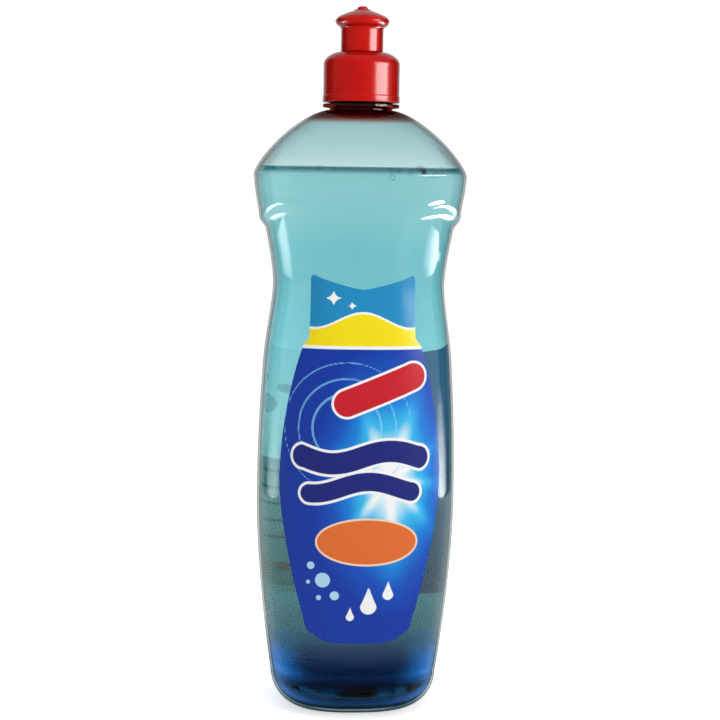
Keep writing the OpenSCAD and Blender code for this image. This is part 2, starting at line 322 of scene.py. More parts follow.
def add_ramp(
    tree: bpy.types.NodeTree, value: bpy.types.NodeSocket, stops: list[tuple[float, str]]
) -> bpy.types.NodeSocket:
    """Add a colour ramp.

    Args:
        tree: Node tree that gets the ramp.
        value: Socket that drives it.
        stops: Places from 0 to 1 with their sRGB colours.

    Returns:
        The colour socket.
    """
    ramp = add_node(tree, "ShaderNodeValToRGB", {0: value})
    elements = ramp.color_ramp.elements
    for place, _ in stops[1:-1]:
        elements.new(place)
    for element, (place, colour) in zip(elements, stops):
        element.position, element.color = place, linear(colour)
    return ramp.outputs[0]


def add_height_ramp(
    tree: bpy.types.NodeTree, height: bpy.types.NodeSocket, stops: tuple[tuple[float, str], ...]
) -> bpy.types.NodeSocket:
    """Add a colour ramp over the height.

    Args:
        tree: Node tree that gets the ramp.
        height: Socket with the height in metres.
        stops: Heights in millimetres with their sRGB colours, from 0 upwards.

    Returns:
        The colour socket.
    """
    top = stops[-1][0]
    share = add_node(tree, "ShaderNodeMapRange", {"Value": height, "From Max": top * MM}).outputs[0]
    return add_ramp(tree, share, [(z / top, colour) for z, colour in stops])


def new_material(name: str) -> tuple[bpy.types.Material, bpy.types.NodeTree]:
    """Make a material with an empty node tree.

    Args:
        name: Name of the material.

    Returns:
        The material and its tree.
    """
    material = bpy.data.materials.new(name)
    material.use_nodes = True
    material.node_tree.nodes.clear()
    return material, material.node_tree


@dataclass(frozen=True)
class ClearPet:
    """PET, stretch blow-moulded: a thin, very clear and glossy wall, whose outline carries a painted dark shade.

    The wall is so thin that it moves nothing seen through it, so it is a clear film with a mirror's share. The neck
    stays as thick as the preform; there a painted red-brown reflection of the closure lies in its tint, and painted
    shade darkens the foot.

    Attributes:
        straight: Heights in millimetres with the tint of one face seen straight on, the lowest first. The dark foot is
            painted shade, and the red-brown band under the closure is a painted reflection of it.
        painted_outline_shade: Dark tint of one face seen along it: painted shade along the outline, darker than the
            longer way through the wall alone would make it.
        gloss: Heights with the brightness of the mirror's share, cut back as painted shade at the foot, which keeps the
            base dark, and under the closure.
        mirror: Share that a face mirrors straight on, for a refractive index of 1.57.
        mirror_most: Share that it mirrors seen along it, less than all because the wall's edge swallows light.
        roughness: Roughness of the moulded surface.
    """

    straight: tuple[tuple[float, str], ...] = (
        # Painted shade: the tint darkens at the foot
        (0.0, "7f989e"),
        (3.5, "b9cdd2"),
        (9.0, "f5fbfb"),
        (224.0, "f3fafa"),
        (234.0, "e9f4f5"),
        (247.6, "dfeeef"),
        # Painted reflection: the red-brown of the closure under the neck
        (249.2, "c8a097"),
        (250.8, "a8564a"),
        (256.5, "a04a3e"),
        (258.0, "e2efef"),
        (270.0, "e2efef"),
    )
    painted_outline_shade: str = "1e4a52"
    gloss: tuple[tuple[float, str], ...] = (
        # Painted shade: the mirror is cut back at the foot and under the closure
        (0.0, "282828"),
        (22.0, "484848"),
        (40.0, "ffffff"),
        (247.0, "ffffff"),
        (250.0, "808080"),
        (258.0, "808080"),
        (270.0, "ffffff"),
    )
    mirror: float = 0.045
    mirror_most: float = 0.5
    roughness: float = 0.03

    def material(self) -> bpy.types.Material:
        """Build the material.

        The mirror's share is Schlick's: the straight share plus the rest times the fifth power of one minus the
        cosine. A wall mirrors once, where the light meets it, so its far face has no share.
        """
        material, tree = new_material("clear_pet")
        place = add_node(tree, "ShaderNodeTexCoord").outputs["Object"]
        height = add_node(tree, "ShaderNodeSeparateXYZ", {0: place}).outputs["Z"]
        # The height tint holds painted shade at the foot and a painted red-brown reflection of the closure under the
        # neck
        across = add_height_ramp(tree, height, self.straight)
        # Painted shade: the mirror's share is cut back at the foot and under the closure
        painted_mirror_shade = add_height_ramp(tree, height, self.gloss)
        tilt = add_node(tree, "ShaderNodeLayerWeight", {"Blend": 0.5}).outputs["Facing"]
        along = add_node(tree, "ShaderNodeMath", {0: tilt, 1: 5.5}, operation="POWER").outputs[0]
        # Seen along the wall its tint turns to a painted dark shade that draws the outline
        tint = add_node(
            tree, "ShaderNodeMix", {0: along, 6: across, 7: linear(self.painted_outline_shade)}, data_type="RGBA"
        ).outputs[2]
        clear = add_node(tree, "ShaderNodeBsdfTransparent", {"Color": tint})
        # Blown walls are never quite even: a slow wave about 9 mm long and some hundredths of a millimetre high
        wave = add_node(tree, "ShaderNodeTexNoise", {"Vector": place, "Scale": 1 / (9 * MM), "Detail": 1.0})
        bump = add_node(
            tree, "ShaderNodeBump", {"Height": wave.outputs[0], "Strength": 0.5, "Distance": 0.12 * MM}
        ).outputs[0]
        gloss = add_node(tree, "ShaderNodeBsdfGlossy", {"Roughness": self.roughness, "Normal": bump})
        fifth = add_node(tree, "ShaderNodeMath", {0: tilt, 1: 5.0}, operation="POWER").outputs[0]
        share = add_node(
            tree, "ShaderNodeMapRange", {"Value": fifth, "To Min": self.mirror, "To Max": self.mirror_most}
        ).outputs[0]
        far = add_node(tree, "ShaderNodeNewGeometry").outputs["Backfacing"]
        near = add_node(tree, "ShaderNodeMath", {0: 1.0, 1: far}, operation="SUBTRACT").outputs[0]
        share = add_node(tree, "ShaderNodeMath", {0: share, 1: near}, operation="MULTIPLY").outputs[0]
        share = add_node(tree, "ShaderNodeMath", {0: share, 1: painted_mirror_shade}, operation="MULTIPLY").outputs[0]
        both = add_node(tree, "ShaderNodeMixShader", {0: share, 1: clear.outputs[0], 2: gloss.outputs[0]})
        add_node(tree, "ShaderNodeOutputMaterial", {"Surface": both.outputs[0]})
        return material


@dataclass(frozen=True)
class RinseAid:
    """Rinse aid: water with a blue-green dye, which takes the red out of the light over a few centimetres.

    Light that enters by the base has come down the whole height of the liquid, so the base looks deep blue, and the
    meniscus bends it away from the eye, so the liquid's edge is a dark line. Painted shade by height stands for both,
    and it also darkens the liquid towards the bottom.

    Attributes:
        painted_shade_by_height: Heights in millimetres with the colour that the surface lets through there, the lowest
            first, which paints that shade.
        rim: Painted light: a brighter blue that the base's sides take on where they are seen along themselves.
        sides: Heights with the brightness of that painted light's share.
        surface: Tint of the level surface, where the mesh's attribute "open_surface" is 1.
        floor: Tint over the pushed-up base, where its attribute "base_face" is 1.
        dye: Colour of the absorbing volume, whose dark parts are taken out of the light.
        strength: Density of the dye, in inverse metres.
        ior: Refractive index of water with surfactants.
    """

    painted_shade_by_height: tuple[tuple[float, str], ...] = (
        (0.0, "000a3c"),
        (8.0, "000424"),
        (18.0, "001244"),
        (25.5, "003c66"),
        (27.6, "0a5a6c"),
        (28.6, "20585f"),
        (44.0, "42757a"),
        (60.0, "76a3a0"),
        (80.0, "98c0bb"),
        (125.0, "ecfafa"),
        (165.0, "caf0f6"),
        (195.0, "c6eff4"),
        (211.0, "eefafa"),
        (226.2, "ffffff"),
        (226.9, "286066"),
        (228.8, "164048"),
        (229.4, "e8f4f4"),
    )
    rim: str = "0c8cf4"
    surface: str = "e6f6f6"
    floor: str = "a8dce4"
    sides: tuple[tuple[float, str], ...] = (
        (0.0, "000000"),
        (5.0, "000000"),
        (11.0, "ffffff"),
        (18.0, "ffffff"),
        (32.0, "000000"),
    )
    dye: tuple[float, float, float] = (0.08, 0.66, 0.72)
    strength: float = 15.0
    ior: float = 1.34

    def material(self) -> bpy.types.Material:
        """Build the material. Lamps reach what lies in the liquid by a clear stand-in for shadow rays."""
        material, tree = new_material("rinse_aid_liquid")
        place = add_node(tree, "ShaderNodeTexCoord").outputs["Object"]
        height = add_node(tree, "ShaderNodeSeparateXYZ", {0: place}).outputs["Z"]
        # Painted shade by height: deep blue at the base, a dark line at the meniscus, darker towards the bottom
        ramp = add_height_ramp(tree, height, self.painted_shade_by_height)
        tilt = add_node(tree, "ShaderNodeLayerWeight", {"Blend": 0.5}).outputs["Facing"]
        # Inside, the same ray meets the wall less steeply, so the far wall's tilt counts for more
        far = add_node(tree, "ShaderNodeNewGeometry").outputs["Backfacing"]
        more = add_node(tree, "ShaderNodeMapRange", {"Value": far, "To Min": 1.0, "To Max": 2.4}).outputs[0]
        tilt = add_node(tree, "ShaderNodeMath", {0: tilt, 1: more}, operation="MULTIPLY").outputs[0]
        # Painted light: the base's sides turn a brighter blue where they are seen along themselves
        low = add_height_ramp(tree, height, self.sides)
        edge = add_node(tree, "ShaderNodeMapRange", {"Value": tilt, "From Min": 0.15, "From Max": 0.55})
        side = add_node(
            tree, "ShaderNodeMath", {0: edge.outputs[0], 1: low}, operation="MULTIPLY"
        ).outputs[0]
        tint = add_node(tree, "ShaderNodeMix", {0: side, 6: ramp, 7: linear(self.rim)}, data_type="RGBA").outputs[2]
        for name, colour in (("open_surface", self.surface), ("base_face", self.floor)):
            face = add_node(tree, "ShaderNodeAttribute", attribute_name=name).outputs["Fac"]
            tint = add_node(tree, "ShaderNodeMix", {0: face, 6: tint, 7: linear(colour)}, data_type="RGBA").outputs[2]
        # The wall touches the liquid, so hardly any light is mirrored between them
        water = add_node(
            tree,
            "ShaderNodeBsdfPrincipled",
            {
                "Base Color": tint,
                "Roughness": 0.0,
                "IOR": self.ior,
                "Transmission Weight": 1.0,
                "Specular Tint": (0.12, 0.12, 0.12, 1.0),
            },
        )
        clear = add_node(tree, "ShaderNodeBsdfTransparent")
        shadow = add_node(tree, "ShaderNodeLightPath").outputs["Is Shadow Ray"]
        both = add_node(tree, "ShaderNodeMixShader", {0: shadow, 1: water.outputs[0], 2: clear.outputs[0]})
        dye = add_node(tree, "ShaderNodeVolumeAbsorption", {"Color": (*self.dye, 1.0), "Density": self.strength})
        add_node(tree, "ShaderNodeOutputMaterial", {"Surface": both.outputs[0], "Volume": dye.outputs[0]})
        return material


@dataclass(frozen=True)
class RedPolypropylene:
    """Polypropylene, injection-moulded in a polished tool: a strong, slightly waxy red with a soft gloss and a very
    fine orange peel. A painted shade darkens the surfaces where they are seen along themselves.

    Attributes:
        name: Name of the material.
        colour: Main colour.
        deep: Colour where the pigment lies denser, in streaks.
        edge: Painted shade, the colour seen along the surface.
        roughness: Middle of the roughness, which varies a little.
    """

    name: str
    colour: str
    deep: str
    edge: str = "3c0402"
    roughness: float = 0.2

    def material(self) -> bpy.types.Material:
        """Build the material."""
        material, tree = new_material(self.name)
        place = add_node(tree, "ShaderNodeTexCoord").outputs["Object"]
        # Flow marks of the pigment: streaks about 12 mm long
        flow = add_node(tree, "ShaderNodeTexNoise", {"Vector": place, "Scale": 1 / (12 * MM), "Detail": 3.0})
        share = add_node(
            tree, "ShaderNodeMapRange", {"Value": flow.outputs[0], "From Min": 0.35, "From Max": 0.75}
        ).outputs[0]
        colour = add_node(
            tree, "ShaderNodeMix", {0: share, 6: linear(self.colour), 7: linear(self.deep)}, data_type="RGBA"
        ).outputs[2]
        # Painted shade: the colour darkens towards the edge colour where the surface is seen along itself
        tilt = add_node(tree, "ShaderNodeLayerWeight", {"Blend": 0.5}).outputs["Facing"]
        along = add_node(tree, "ShaderNodeMath", {0: tilt, 1: 1.7}, operation="POWER").outputs[0]
        colour = add_node(
            tree, "ShaderNodeMix", {0: along, 6: colour, 7: linear(self.edge)}, data_type="RGBA"
        ).outputs[2]
        # Orange peel: about 0.7 mm from crest to crest
        peel = add_node(tree, "ShaderNodeTexNoise", {"Vector": place, "Scale": 1 / (0.7 * MM), "Detail": 2.0})
        bump = add_node(tree, "ShaderNodeBump", {"Height": peel.outputs[0], "Strength": 0.25, "Distance": 0.01 * MM})
        rough = add_node(
            tree,
            "ShaderNodeMapRange",
            {"Value": flow.outputs[0], "To Min": self.roughness - 0.03, "To Max": self.roughness + 0.05},
        )
        plastic = add_node(
            tree,
            "ShaderNodeBsdfPrincipled",
            {
                "Base Color": colour,
                "Roughness": rough.outputs[0],
                "IOR": 1.49,
                "Specular IOR Level": 0.12,
                "Normal": bump.outputs[0],
            },
        )
        add_node(tree, "ShaderNodeOutputMaterial", {"Surface": plastic.outputs[0]})
        return material


@dataclass(frozen=True)
class PolyethyleneFoam:
    """Foamed polyethylene, punched from sheet: a matt white seal with fine closed cells."""

    colour: str = "eeeeea"

    def material(self) -> bpy.types.Material:
        """Build the material."""
        material, tree = new_material("foamed_polyethylene")
        place = add_node(tree, "ShaderNodeTexCoord").outputs["Object"]
        # Cells of about 0.3 mm
        cells = add_node(tree, "ShaderNodeTexVoronoi", {"Vector": place, "Scale": 1 / (0.3 * MM)})
        bump = add_node(tree, "ShaderNodeBump", {"Height": cells.outputs[0], "Strength": 0.3, "Distance": 0.05 * MM})
        foam = add_node(
            tree,
            "ShaderNodeBsdfPrincipled",
            {"Base Color": linear(self.colour), "Roughness": 0.7, "Normal": bump.outputs[0]},
        )
        add_node(tree, "ShaderNodeOutputMaterial", {"Surface": foam.outputs[0]})
        return material


@dataclass(frozen=True)
class InkField:
    """One printed field of a label.

    Attributes:
        name: Name of the distance that the mesh carries for it, in millimetres and negative inside the field.
        colour: Ink.
        distance: Distance from the field's edge as a function of the places across and up the film.
        halo: Width of the outline round the field.
        halo_colour: Ink of that outline.
        cover: How much the ink covers what lies under it.
    """

    name: str
    colour: str
    distance: Callable[[np.ndarray, np.ndarray], np.ndarray]
    halo: float = 0.0
    halo_colour: str = "ffffff"
    cover: float = 1.0


@dataclass(frozen=True)
class PrintedFilm:
    """Polypropylene label film, gravure-printed and varnished: full flat inks with crisp edges under an even gloss.

    Its glued side shows the same print veiled by the glue, and bright where light comes through from behind.

    Attributes:
        name: Name of the material.
        ground: Stops of the ground's colour, as places from 0 to 1 with their inks.
        fields: Printed fields, the lowest first.
        veil: Colour of the glued side's haze.
        veil_share: How much of the print that haze covers.
        ground_cover: 1 where the ground is printed, less where the bare film shows.
        thin: Share of the light that comes through the printed film towards the inside.
        edge: Half of the width over which an ink's edge fades, in millimetres.
    """

    name: str
    ground: tuple[tuple[float, str], ...]
    fields: tuple[InkField, ...]
    veil: str
    veil_share: float
    ground_cover: float = 1.0
    thin: float = 0.6
    edge: float = 0.1

    def inks(self, tree: bpy.types.NodeTree) -> tuple[bpy.types.NodeSocket, bpy.types.NodeSocket]:
        """Build the print from the ground and one distance a field, which the mesh carries.

        Args:
            tree: Node tree that gets the nodes.

        Returns:
            The colour socket, and a socket that is 1 where the film is printed.
        """
        cover = add_node(tree, "ShaderNodeValue").outputs[0]
        cover.default_value = self.ground_cover
        depth = add_node(tree, "ShaderNodeAttribute", attribute_name="ground").outputs["Fac"]
        colour = add_ramp(tree, depth, list(self.ground))
        for field in self.fields:
            away = add_node(tree, "ShaderNodeAttribute", attribute_name=field.name).outputs["Fac"]
            layers = [(field.halo, field.halo_colour)] if field.halo else []
            for reach, ink in [*layers, (0.0, field.colour)]:
                span = {"From Min": reach + self.edge, "From Max": reach - self.edge, "To Max": field.cover}
                mask = add_node(tree, "ShaderNodeMapRange", {"Value": away, **span})
                colour = add_node(
                    tree, "ShaderNodeMix", {0: mask.outputs[0], 6: colour, 7: linear(ink)}, data_type="RGBA"
                ).outputs[2]
                cover = add_node(tree, "ShaderNodeMath", {0: cover, 1: mask.outputs[0]}, operation="MAXIMUM").outputs[0]
        return colour, cover

    def front(self) -> bpy.types.Material:
        """Build the printed side's material."""
        material, tree = new_material(self.name)
        place = add_node(tree, "ShaderNodeTexCoord").outputs["Object"]
        # Film laid by a roller keeps soft ripples about 14 mm long
        ripple = add_node(tree, "ShaderNodeTexNoise", {"Vector": place, "Scale": 1 / (14 * MM), "Detail": 1.0})
        bump = add_node(tree, "ShaderNodeBump", {"Height": ripple.outputs[0], "Strength": 0.4, "Distance": 0.1 * MM})
        inks, cover = self.inks(tree)
        film = add_node(
            tree,
            "ShaderNodeBsdfPrincipled",
            {
                "Base Color": inks,
                "Roughness": 0.24,
                "IOR": 1.5,
                "Specular IOR Level": 0.2,
                "Normal": bump.outputs[0],
            },
        )
        stained = add_node(tree, "ShaderNodeMix", {0: 0.25, 6: inks, 7: linear("ffffff")}, data_type="RGBA")
        clear = add_node(tree, "ShaderNodeBsdfTransparent", {"Color": stained.outputs[2]})
        behind = add_node(tree, "ShaderNodeNewGeometry").outputs["Backfacing"]
        bare = add_node(tree, "ShaderNodeMath", {0: 0.94, 1: cover}, operation="SUBTRACT", use_clamp=True).outputs[0]
        through = add_node(tree, "ShaderNodeMath", {0: behind, 1: bare}, operation="MAXIMUM").outputs[0]
        both = add_node(tree, "ShaderNodeMixShader", {0: through, 1: film.outputs[0], 2: clear.outputs[0]})
        add_node(tree, "ShaderNodeOutputMaterial", {"Surface": both.outputs[0]})
        return material

    def back(self) -> bpy.types.Material:
        """Build the glued side's material."""
        material, tree = new_material(self.name + "_back")
        place = add_node(tree, "ShaderNodeTexCoord").outputs["Object"]
        # Glue wets the film in cloudy patches of about 8 mm
        cloud = add_node(tree, "ShaderNodeTexNoise", {"Vector": place, "Scale": 1 / (8 * MM), "Detail": 3.0})
        rough = add_node(tree, "ShaderNodeMapRange", {"Value": cloud.outputs[0], "To Min": 0.35, "To Max": 0.6})
        inks, cover = self.inks(tree)
        hazy = add_node(
            tree, "ShaderNodeMix", {0: self.veil_share, 6: inks, 7: linear(self.veil)}, data_type="RGBA"
        )
        film = add_node(
            tree, "ShaderNodeBsdfPrincipled", {"Base Color": hazy.outputs[2], "Roughness": rough.outputs[0]}
        )
        clear = add_node(tree, "ShaderNodeBsdfTransparent")
        through = add_node(tree, "ShaderNodeMapRange", {"Value": cover, "To Min": 0.96, "To Max": self.thin})
        both = add_node(
            tree, "ShaderNodeMixShader", {0: through.outputs[0], 1: film.outputs[0], 2: clear.outputs[0]}
        )
        add_node(tree, "ShaderNodeOutputMaterial", {"Surface": both.outputs[0]})
        return material


class Shading(Enum):
    """How the edges of a piece are shaded."""

    SOFT = "all edges smooth"
    CREASED = "edges over 35 degrees stay sharp"


def make_piece(
    name: str,
    skin: Skin,
    materials: list[bpy.types.Material],
    body: str,
    nodes: tuple[str, ...],
    shading: Shading = Shading.CREASED,
) -> bpy.types.Object:
    """Write a skin to a mesh object in the frame's metres and tie it to its body.

    Args:
        name: Name of the piece.
        skin: Its form.
        materials: Its materials, of which all faces take the first.
        body: Body that it rides on.
        nodes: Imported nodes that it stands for.
        shading: How its edges are shaded.

    Returns:
        The object.
    """
    mesh = bpy.data.meshes.new(name)
    mesh.from_pydata((skin.points * MM).tolist(), [], skin.quads.tolist() + skin.triangles.tolist())
    mesh.shade_smooth()
    if shading is Shading.CREASED:
        mesh.set_sharp_from_angle(angle=math.radians(35))
    for material in materials:
        mesh.materials.append(material)
    piece = bpy.data.objects.new(name, mesh)
    bpy.context.scene.collection.objects.link(piece)
    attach(piece, body)
    if nodes:
        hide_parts(*nodes)
    LOG.info("%s: %d faces on body %s", name, len(mesh.polygons), body)
    return piece


# The bottle's form


@dataclass(frozen=True)
class Rows:
    """Rings of an oval body, one array entry each.

    Attributes:
        half_x: Half widths.
        half_y: Half depths.
        square: Exponents of the superellipse.
        level: Heights.
    """

    half_x: np.ndarray
    half_y: np.ndarray
    square: np.ndarray
    level: np.ndarray

    @staticmethod
    def joined(*parts: "Rows") -> "Rows":
        """Put several runs of rings into one."""
        return Rows(*(np.concatenate([getattr(p, f) for p in parts]) for f in ("half_x", "half_y", "square", "level")))

    def reversed(self) -> "Rows":
        """The same rings in the other order."""
        return Rows(self.half_x[::-1], self.half_y[::-1], self.square[::-1], self.level[::-1])


@dataclass(frozen=True)
class BodyForm:
    """Sizes and forms of the blown body, in millimetres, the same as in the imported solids.

    Each station has a width and a depth; the heights between them follow eased curves.
    """

    shoulder: tuple[float, float] = (88.4, 73.0)
    waist: tuple[float, float] = (74.6, 69.5)
    belly: tuple[float, float] = (83.5, 72.0)
    base: tuple[float, float] = (70.5, 63.0)
    squareness: float = 2.6
    belly_z: float = 88.0
    waist_z: float = 180.0
    shoulder_z: float = 226.0
    dome_z: float = 252.4
    heel_r: float = 15.0
    foot_w: float = 3.0
    punt_h: float = 4.0
    grip_depth: float = 1.6
    grip_z: float = 207.0
    grip_arch: float = 6.5
    grip_lip: float = 5.0
    grip_end: float = 148.0
    bead: float = 0.22
    neck_r: float = 12.95
    columns: int = 160

    def angles(self) -> np.ndarray:
        """Angles of a ring's corners: even steps, with a few close ones at the mould's parting line on each side."""
        even = np.arange(self.columns) * 2 * np.pi / self.columns
        near = np.radians([0.25, 0.5, 0.8, 1.3])
        close = np.concatenate([side + sign * near for side in (0, np.pi) for sign in (-1, 1)])
        return np.sort(np.concatenate([even, close]) % (2 * np.pi))

    def dome_at(self, z: np.ndarray) -> np.ndarray:
        """Share of the way up the dome."""
        return clamp01((z - self.shoulder_z) / (self.dome_z - self.shoulder_z))

    def square_at(self, z: np.ndarray) -> np.ndarray:
        """Exponent of the oval, which gets rounder up the dome."""
        return mix(self.squareness, 2.0, self.dome_at(z))

    def half_at(self, z: np.ndarray, axis: int) -> np.ndarray:
        """Half of the body's width or depth.

        Below the belly the size falls with the power 1.7 of the way down, between belly, waist and shoulder it
        follows two-ended ease curves, and up the dome the power 0.66 of one minus the power 1.25 of the way.

        Args:
            z: Heights.
            axis: 0 for the width, 1 for the depth.

        Returns:
            Half sizes.
        """
        base, belly, waist, shoulder = (s[axis] / 2 for s in (self.base, self.belly, self.waist, self.shoulder))
        low = clamp01((self.belly_z - z) / (self.belly_z - self.heel_r))
        flank = (self.waist_z - z) / (self.waist_z - self.belly_z)
        chest = (z - self.waist_z) / (self.shoulder_z - self.waist_z)
        return np.select(
            [z < self.belly_z, z < self.waist_z, z < self.shoulder_z],
            [
                mix(belly, base, low**1.7),
                mix(waist, belly, ease(flank, 1.25, 2.3)),
                mix(waist, shoulder, ease(chest, 1.57, 1.57)),
            ],
            mix(self.neck_r, shoulder, (1 - self.dome_at(z) ** 1.25) ** 0.66),
        )

    def scoop(self, cosine: np.ndarray, sine: np.ndarray, z: np.ndarray) -> np.ndarray:
        """Depth of the grips scooped into the sides.

        Three smooth steps are multiplied: under an edge that arches with the squared sine of twice the angle, above
        the height where the scoop runs out, and within about 60 degrees of the sides. A low bell-shaped bead follows
        the edge.

        Args:
            cosine: Cosine of the oval's angle.
            sine: Sine of that angle.
            z: Heights.

        Returns:
            Depths, in millimetres.
        """
        edge = self.grip_z + self.grip_arch * (2 * sine * cosine) ** 2
        upper = smooth((edge - z) / (self.grip_lip * 0.8)) - self.bead * np.exp(-(((z - edge - 0.8) / 1.3) ** 2))
        lower = smooth((z - self.grip_end) / (self.waist_z - self.grip_end))
        wide, narrow = math.cos(math.radians(74)), math.cos(math.radians(48))
        side = smooth((np.abs(cosine) - wide) / (narrow - wide))
        return self.grip_depth * upper * lower * side

    def rings(self, rows: Rows) -> np.ndarray:
        """Points of oval rings.

        At each polar angle the radius is that of the superellipse: one over the n-th root of the sum of the n-th
        powers of cosine over half width and sine over half depth, less the grip's depth there.

        Args:
            rows: The rings.

        Returns:
            An array of rings, corners and three coordinates.
        """
        angle = self.angles()[None, :]
        hx, hy, n, z = (v[:, None] for v in (rows.half_x, rows.half_y, rows.square, rows.level))
        p, q = (np.abs(np.cos(angle)) / hx) ** (n / 2), (np.abs(np.sin(angle)) / hy) ** (n / 2)
        total = p**2 + q**2
        cosine, sine = np.sign(np.cos(angle)) * p / np.sqrt(total), np.sign(np.sin(angle)) * q / np.sqrt(total)
        r = total ** (-1 / n) - self.scoop(cosine, sine, z)
        return np.stack([r * np.cos(angle), r * np.sin(angle), z + 0 * angle], -1)

    def side_heights(self) -> np.ndarray:
        """Heights of rings from the heel to the shoulder, closer together at the grips' edges."""
        return np.concatenate(
            [np.arange(self.heel_r + 2, 196, 2.4), np.arange(196, 216, 0.8), np.arange(216, self.shoulder_z, 1.4)]
        )

    def dome_heights(self, count: int = 40) -> np.ndarray:
        """Heights of rings up the dome, closer together where it levels out towards the neck."""
        s = np.linspace(0, 1, count)
        return mix(self.shoulder_z, self.dome_z, 1 - (1 - s) ** 2)

    def base_rows(self, lift: float, count: int = 9) -> Rows:
        """Rings of the base from the middle outwards: a parabolic push-up inside the foot."""
        s = np.linspace(0.08, 1, count)
        reach = self.heel_r + self.foot_w
        z = np.full(count, self.heel_r)
        level = self.punt_h * (1 - s**2) + lift
        half_x, half_y = (self.half_at(z, k) - reach for k in (0, 1))
        return Rows(half_x * s, half_y * s, np.full(count, self.squareness), level)

    def heel_rows(self, t_base: float, t_side: float, count: int = 15) -> Rows:
        """Rings of the heel: a quarter circle, inside which the wall changes from the base's to the side's."""
        turn = np.linspace(0, np.pi / 2, count)
        t = mix(t_base, t_side, turn / (np.pi / 2))
        inset = self.heel_r * (1 - np.sin(turn)) + t * np.sin(turn)
        z = np.full(count, self.heel_r)
        level = self.heel_r * (1 - np.cos(turn)) + t * np.cos(turn)
        half_x, half_y = (self.half_at(z, k) - inset for k in (0, 1))
        return Rows(half_x, half_y, np.full(count, self.squareness), level)

    def wall_rows(self, z: np.ndarray, t: float) -> Rows:
        """Rings of a skin that lies t inside the outside, where t turns upright on the way up the dome."""
        tilt = self.dome_at(z) * np.pi / 2
        inset = t * np.cos(tilt)
        return Rows(self.half_at(z, 0) - inset, self.half_at(z, 1) - inset, self.square_at(z), z - t * np.sin(tilt))

    def film_points(self, x: np.ndarray, z: np.ndarray, side: int, lift: float) -> np.ndarray:
        """Points on the skin, or a little off it, at given places across and up the front or the back.

        The oval's cosine there is the power n/2 of x over the half width, and the point is the lifted oval at that
        angle, less the grip's depth.

        Args:
            x: Distances from the middle.
            z: Heights.
            side: -1 for the front, 1 for the back.
            lift: Distance off the skin.

        Returns:
            The points.
        """
        hx, hy, n = self.half_at(z, 0), self.half_at(z, 1), self.square_at(z)
        cosine = np.sign(x) * clamp01(np.abs(x) / hx) ** (n / 2)
        sine = side * np.sqrt(1 - cosine**2)
        px = np.sign(cosine) * (hx + lift) * np.abs(cosine) ** (2 / n)
        py = side * (hy + lift) * np.abs(sine) ** (2 / n)
        keep = 1 - self.scoop(cosine, sine, z) / np.hypot(px, py)
        return np.stack([px * keep, py * keep, z], -1)


@dataclass
class ClearBottle:
    """The blown bottle with its neck finish, as one closed skin from the base's outside to its inside."""

    form: BodyForm
    finish: ClearPet
    wall: float = 0.8
    base_wall: float = 1.6
    mouth_r: float = 11.2
    neck_h: float = 17.6
    support_r: float = 15.9
    support_t: float = 1.8
    support_gap: float = 0.6
    seam_h: float = 0.12

    @property
    def lip_z(self) -> float:
        """Height of the lip."""
        return self.form.dome_z + self.neck_h

    @property
    def thread(self) -> Thread:
        """The neck's thread, one and a half turns that end 2.2 mm under the lip."""
        return Thread(self.form.neck_r, 13.85, self.lip_z - 2.2 - 1.5 * 4.233, 1.5)

    def neck_rows(self) -> Rows:
        """Rings up the neck's outside, over the lip and down its bore, with small rounds at the corners."""
        r, ring_z = self.form.neck_r, self.form.dome_z + self.support_gap
        ring_top = ring_z + self.support_t
        lower = np.array(
            [[r - 4, ring_z - 4], [r, ring_z - 4], [r, ring_z], [self.support_r, ring_z + 0.5],
             [self.support_r, ring_top], [r, ring_top], [r, ring_top + 4], [r - 4, ring_top + 4]]
        )
        ring = rounded(lower, 0.35)[12:36]
        bare = np.linspace(ring_top + 0.6, self.lip_z - 0.6, 74)
        upper = np.array([[self.mouth_r, self.lip_z - 9], [r, self.lip_z - 9], [r, self.lip_z], [self.mouth_r, self.lip_z]])
        lip = rounded(upper, 0.45)[12:24]
        bore = np.linspace(self.lip_z - 0.9, self.form.dome_z - self.wall + 0.5, 8)
        radius = np.concatenate([ring[:, 0], np.full(74, r), lip[:, 0], np.full(8, self.mouth_r)])
        level = np.concatenate([ring[:, 1], bare, lip[:, 1], bore])
        return Rows(radius, radius, np.full(len(radius), 2.0), level)

    def skin(self) -> Skin:
        """The whole wall as one closed skin. The thread and the parting line are raised on its outside."""
        form = self.form
        side, dome = form.side_heights(), form.dome_heights()
        outside = Rows.joined(form.base_rows(0), form.heel_rows(0, 0), form.wall_rows(side, 0), form.wall_rows(dome, 0))
        inside = Rows.joined(
            form.base_rows(self.base_wall),
            form.heel_rows(self.base_wall, self.wall),
            form.wall_rows(side, self.wall),
            form.wall_rows(dome, self.wall),
        )
        neck = self.neck_rows()
        rings = form.rings(Rows.joined(outside, neck, inside.reversed()))
        angle = form.angles()[None, :]
        out, up = len(outside.level), len(outside.level) + len(neck.level)
        rise = np.zeros(rings.shape[:2])
        z = neck.level[:, None]
        on_neck = (neck.half_x[:, None] == form.neck_r) & (z > form.dome_z + 4)
        rise[out:up] = np.where(on_neck, self.thread.rise(angle, z), 0)
        line = np.exp(-((rings[:out, :, 1] / 0.28) ** 2)) * (1 - form.dome_at(outside.level)[:, None] ** 4)
        rise[:out] += self.seam_h * line * (outside.level[:, None] > 0.2)
        rings[..., 0] += rise * np.cos(angle)
        rings[..., 1] += rise * np.sin(angle)
        poles = np.array([[0, 0, form.punt_h], [0, 0, form.punt_h + self.base_wall]])
        return Skin.from_rings(rings, poles)

    def build(self) -> bpy.types.Object:
        """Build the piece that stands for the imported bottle."""
        return make_piece("clear_bottle", self.skin(), [self.finish.material()], "bottle", ("bottle",))


